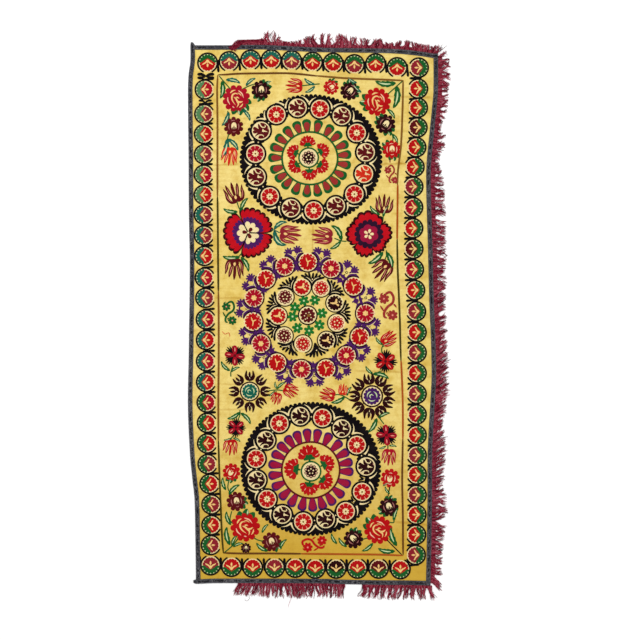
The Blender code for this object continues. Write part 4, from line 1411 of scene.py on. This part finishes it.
# Fringe: tapes with clumps of loose yarn. Locks: place along the edge, length, lean anticlockwise, curl
fringe = {
    "gap": 0.8,  # between the braid's edge and the tape
    "tape": {"top": 10.0, "right": 13.0, "bottom": 9.0},
    "rootAway": 8.8,  # from the edge to where the locks start
    "pitch": 10.4,  # from one lock to the next
    "yarnsPerLock": 10,
    "longYarns": 7,  # the rest of a lock's yarns are short
    "lockWidth": 10.0,
    "yarnRadius": 1.15,
    "wine": (128, 18, 42),
    "dark": (78, 8, 26),
    "pink": (176, 78, 94),
    "twist": 2.4,  # length of one turn of a yarn
}
locks = {
    "top": [(-232, 11, 14, 0.6), (-165, 12, 6, 0.6), (-148, 36, 22, 1.2), (-136, 40, -2, 1.2),
            (-122, 32, -18, 1.2), (-100, 10, 0, 0.5), (-45, 13, 8, 0.6), (0, 32, 16, 1.0),
            (40, 40, 4, 0.9), (95, 39, -6, 0.9), (140, 31, 12, 0.9), (205, 24, -10, 0.8),
            (232, 28, 4, 0.8), (262, 12, 8, 0.6), (305, 27, -8, 1.0), (345, 20, -4, 0.8),
            (380, 17, 2, 0.8), (424, 26, -38, 1.2)],
    "right": [(-896, 44, -44, 0.8), (-839, 32, -22, 0.9), (-779, 31, -10, 0.9), (-685, 42, 4, 1.0),
              (-618, 42, 12, 1.0), (-578, 28, 18, 0.8), (-518, 42, 28, 0.5), (-434, 42, 34, 0.3),
              (-377, 27, 34, 0.2), (-324, 40, 36, 0.2), (-150, 39, 36, 0.3), (-16, 34, 24, 0.6),
              (152, 36, 4, 1.0), (319, 40, -6, 1.1), (459, 36, 6, 1.1), (506, 20, 4, 0.9),
              (587, 34, 8, 1.1), (627, 14, 0, 0.8), (680, 27, -8, 1.0), (737, 27, 2, 1.0),
              (794, 34, 4, 1.1), (834, 32, 14, 1.1), (868, 28, 42, 1.2)],
    "bottom": [(-244, 34, -34, 0.8), (-215, 36, -22, 0.7), (-120, 40, 6, 0.6), (-20, 41, -4, 0.6),
               (60, 39, 10, 0.6), (112, 38, 0, 0.6), (174, 40, -4, 0.6), (250, 42, -14, 0.6),
               (330, 42, -6, 0.6), (405, 42, 22, 0.7)],
}
fringeRuns = [("fringe_top", "top", -236, 424), ("fringe_right", "right", -896, 868),
              ("fringe_bottom_long", "bottom", -246, 113), ("fringe_bottom_short", "bottom", 170, 404)]


def yarnMaterial(name, colour):
    nodes = Nodes(name + "_yarn")
    along, across = nodes.stitchPlace()
    place = nodes.place()
    ply = nodes.fromMiddle(nodes.plus(nodes.over(along, fringe["twist"]), across))
    height = nodes.hump(ply, 3.6)
    dye = nodes.noise(place, 60.0, 2.0)
    fibre = nodes.noise(place, 1400.0, 2.0)
    # painted shade: the yarn is darker in the hollows of its twist
    body = nodes.mix(nodes.ramp(height, 0.1, 0.8), linear(colour, 0.45), linear(colour))
    body = nodes.mix(nodes.ramp(dye, 0.45, 0.75, 0.0, 0.25), body, linear(fringe["pink"]))
    return nodes.finish(body, nodes.plus(height, nodes.times(fibre, 0.3)), 0.0004,
                        nodes.ramp(fibre, 0.3, 0.7, 0.65, 0.9), sheen=0.08)


yarnSides = 4
yarns = {name: yarnMaterial(name, fringe[name]) for name in ("wine", "dark", "pink")}


def pickYarn(rng, wine=46, dark=26, pink=28):
    return rng.choices(["wine", "dark", "pink"], weights=[wine, dark, pink])[0]


def addYarn(work, points, radius, thread):  # a round yarn through points of x, y, z, never below the floor
    points = np.asarray(points, float)
    along = np.gradient(points[:, :2], axis=0)
    size = np.maximum(np.hypot(along[:, 0], along[:, 1]), 1e-6)
    nx, ny = -along[:, 1] / size, along[:, 0] / size
    angle = np.linspace(0, 2 * math.pi, yarnSides + 1) + math.pi / 4
    radius = radius * np.interp(np.linspace(0, 1, len(points)), [0, 0.8, 1], [1, 0.92, 0.4])
    high = np.maximum(points[:, 2], radius * 0.75 + 0.05)
    gx = points[:, 0][:, None] + (nx * radius)[:, None] * np.cos(angle)[None, :]
    gy = points[:, 1][:, None] + (ny * radius)[:, None] * np.cos(angle)[None, :]
    gz = high[:, None] + radius[:, None] * np.sin(angle)[None, :]
    length = np.concatenate([[0], np.cumsum(np.hypot(np.diff(points[:, 0]), np.diff(points[:, 1])))])
    u = np.repeat(length[:, None], yarnSides + 1, axis=1)
    v = np.repeat(np.linspace(0, 1, yarnSides + 1)[None, :], len(points), axis=0)
    addGrid(work, gx, gy, gz, u, v, thread)


def addLock(work, rng, root, normal, lean, length, curl):  # yarns that gather towards one tip
    angle = math.atan2(normal[1], normal[0]) + math.radians(lean)
    dx, dy = math.cos(angle), math.sin(angle)
    t = np.linspace(0, 1, 9)
    bend = curl * length * rng.uniform(-0.3, 0.3)
    turns, first = rng.uniform(3.5, 7.5), rng.uniform(0, 6.28)
    wave = (np.sin(first + t * turns) - math.sin(first)) * np.minimum(1, 2 * t)
    shared = bend * t * t + curl * rng.uniform(1.2, 4.2) * wave
    for k in range(fringe["yarnsPerLock"]):
        stray = rng.random() < 0.26
        short = k >= fringe["longYarns"]
        start = rng.uniform(-0.5, 0.5) * fringe["lockWidth"]
        gather = rng.uniform(-1, 1) * (0.45 * length if stray else 4.6)
        shortest, longest = (0.45, 0.75) if short else (0.6, 1.06) if stray else (0.8, 1.04)
        reach = length * rng.uniform(shortest, longest)
        own = rng.uniform(0.5, 2.4) * curl * np.sin(rng.uniform(0, 6.28) + t * rng.uniform(6, 13)) * t
        side = shared + own + gather * t ** 1.4
        rootX = root[0] - normal[1] * start * (1 - 0.5 * t) - normal[0] * 5.0
        rootY = root[1] + normal[0] * start * (1 - 0.5 * t) - normal[1] * 5.0
        x = rootX + dx * (reach + 5.0) * t - dy * side
        y = rootY + dy * (reach + 5.0) * t + dx * side
        z = rng.uniform(0.9, 3.0) * (1.05 - 0.5 * t) + 0.3 * np.abs(np.sin(t * 5 + k))
        addYarn(work, np.stack([x, y, z], axis=-1), fringe["yarnRadius"] * rng.uniform(0.8, 1.15),
                pickYarn(rng))


def addTape(work, side, start, end):
    gap, wide = fringe["gap"], fringe["tape"][side]
    section = [(gap, 0.1), (gap, 1.5), (gap + 1.2, 2.1), (gap + wide * 0.5, 1.8), (gap + wide - 1.2, 2.0),
               (gap + wide, 1.2), (gap + wide, 0.1)]
    addSwept(work, edgeRun(side, start, end, 4.0), section, "wine")
    rng = random.Random(len(side))
    along = start
    while along < end:  # stitches that bind the roots
        x, y = (float(c) for c in edgePoint(side, along))
        nx, ny = (float(c) for c in edgeNormal(side, along))
        reach = rng.uniform(0.8, 1.35) * wide
        skew = rng.uniform(-2.2, 2.2)
        points = [(x + nx * (gap - 0.5), y + ny * (gap - 0.5), 1.7),
                  (x + nx * (gap + reach * 0.5) - ny * skew * 0.5,
                   y + ny * (gap + reach * 0.5) + nx * skew * 0.5, 2.6),
                  (x + nx * (gap + reach) - ny * skew, y + ny * (gap + reach) + nx * skew, 1.5)]
        addYarn(work, points, 1.05, pickYarn(rng, 40, 14, 46))
        along += rng.uniform(2.2, 3.4)


def addBundle(work, rng, start, end, wide, count, low, high):  # tangled yarns from one place to another
    (x0, y0), (x1, y1) = start, end
    size = math.hypot(x1 - x0, y1 - y0)
    nx, ny = (y0 - y1) / size, (x1 - x0) / size
    for k in range(count):
        t = np.linspace(0, 1, 12)
        off = rng.uniform(-0.5, 0.5) * wide
        swing = rng.uniform(0.6, 2.2)
        side = off * (1 - 0.3 * t) + swing * np.sin(rng.uniform(0, 6.28) + t * rng.uniform(5, 14))
        slip = rng.uniform(-0.12, 0.1) * size
        x = x0 + (x1 - x0) * t + nx * side + slip * (x1 - x0) / size
        y = y0 + (y1 - y0) * t + ny * side + slip * (y1 - y0) / size
        z = rng.uniform(low, high) * (1 - 0.2 * t)
        addYarn(work, np.stack([x, y, z], axis=-1), rng.uniform(0.9, 1.5), pickYarn(rng, 50, 36, 14))


def makeFringe():
    for name, side, start, end in fringeRuns:
        rng = random.Random(name)
        work = newWork(name + "_yarn")
        work["faceUp"] = False
        addTape(work, side, start, end)
        count = round((end - start) / fringe["pitch"])
        for k in range(count):
            along = start + (end - start) * (k + 0.5) / count
            x, y = (float(c) for c in edgePoint(side, along))
            nx, ny = (float(c) for c in edgeNormal(side, along))
            length, lean, curl = (float(tableCurve([(row[0], row[column]) for row in locks[side]], along))
                                  for column in (1, 2, 3))
            away = fringe["rootAway"]
            addLock(work, rng, (x + nx * away, y + ny * away), (nx, ny), lean + rng.uniform(-12, 12) * curl,
                    length * rng.uniform(0.9, 1.08), curl)
        if name == "fringe_top":  # rope of yarns along the tape at the left end
            addBundle(work, rng, (-240, 914), (-160, 919), 11.5, 26, 1.6, 4.4)
        if name == "fringe_bottom_long":
            addYarn(work, [(-73, -929, 1.0), (-68, -949, 0.9), (-72, -959, 0.8), (-76, -969, 0.7),
                           (-77, -978, 0.7)], 0.5, "pink")
            addYarn(work, [(-209, -933, 1.0), (-207, -948, 0.9), (-214, -956, 0.8), (-222, -954, 0.8),
                           (-222, -947, 0.9)], 0.45, "dark")
        if name == "fringe_right":
            for a, b, c in (((427, 881), (440, 891), (454, 903)), ((430, 874), (447, 878), (457, 869)),
                            ((427, 888), (434, 899), (439, 906))):
                addYarn(work, [(*a, 1.2), (*b, 1.4), (*c, 0.8)], 0.8, "dark")
        piece = makePiece(work, yarns)
        closeUp(piece)
        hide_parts(name)
    rng = random.Random(5)
    work = newWork("fringe_turned_end_yarn")
    work["faceUp"] = False
    addBundle(work, rng, (-239, 914), (-268, 890), 19.0, 40, 4.3, 7.0)  # folded down over the braid
    for dx, dy in ((-22, -8), (-25, -3), (-17, -13), (-5, -17)):
        x, y = (-252, 899)
        addBundle(work, rng, (x, y), (x + dx, y + dy), 7.0, 5, 4.3, 6.0)
    piece = makePiece(work, yarns)
    closeUp(piece)
    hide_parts("fringe_turned_end")


makeFringe()


# Floor, light and camera
studio = {
    "pixel": 3.346,  # mm of cloth to one pixel of a 640 pixel frame
    "lens": 100.0,
    "centre": (29, -16),
    "floor": (0.96, 0.96, 0.96),
    "worldStrength": 0.78,
    "keyStrength": 74.0,
}


def makeStudio():
    scene = bpy.context.scene
    bpy.ops.mesh.primitive_plane_add(size=14.0, location=(0, 0, 0))
    floor = bpy.context.object
    floor.name = "floor"
    nodes = Nodes("pale_floor")
    place = nodes.place()
    grain = nodes.noise(place, 300.0, 2.0)
    tone = nodes.mix(nodes.ramp(grain, 0.3, 0.7, 0.0, 0.03), studio["floor"] + (1.0,), (0.8, 0.8, 0.8, 1.0))
    floor.data.materials.append(nodes.finish(tone, grain, 0.0001, 0.9))

    world = bpy.data.worlds.new("studio")
    scene.world = world
    world.use_nodes = True
    world.node_tree.nodes["Background"].inputs["Color"].default_value = (1.0, 1.0, 1.0, 1.0)
    world.node_tree.nodes["Background"].inputs["Strength"].default_value = studio["worldStrength"]
    for name, place, size, power in (("key", (-1.9, 2.2, 3.0), 2.2, 1.0),
                                     ("fill", (2.2, -1.6, 3.2), 3.0, 0.45)):
        light = bpy.data.lights.new(name, "AREA")
        light.size = size
        light.energy = studio["keyStrength"] * power
        lamp = bpy.data.objects.new(name, light)
        lamp.location = place
        direction = np.array(place) * -1.0
        lamp.rotation_euler = (math.atan2(math.hypot(direction[0], direction[1]), -direction[2]), 0.0,
                               math.atan2(direction[1], direction[0]) - math.pi / 2)
        scene.collection.objects.link(lamp)

    camera = bpy.data.cameras.new("camera")
    camera.sensor_width = 36.0
    camera.lens = studio["lens"]
    camera.clip_end = 60.0
    view = bpy.data.objects.new("camera", camera)
    across = 640 * studio["pixel"] * mm
    view.location = (studio["centre"][0] * mm + clothMiddle[0], studio["centre"][1] * mm + clothMiddle[1],
                     across * studio["lens"] / camera.sensor_width)
    scene.collection.objects.link(view)
    scene.camera = view
    scene.view_settings.view_transform = "Standard"


makeStudio()
print("studio ready")
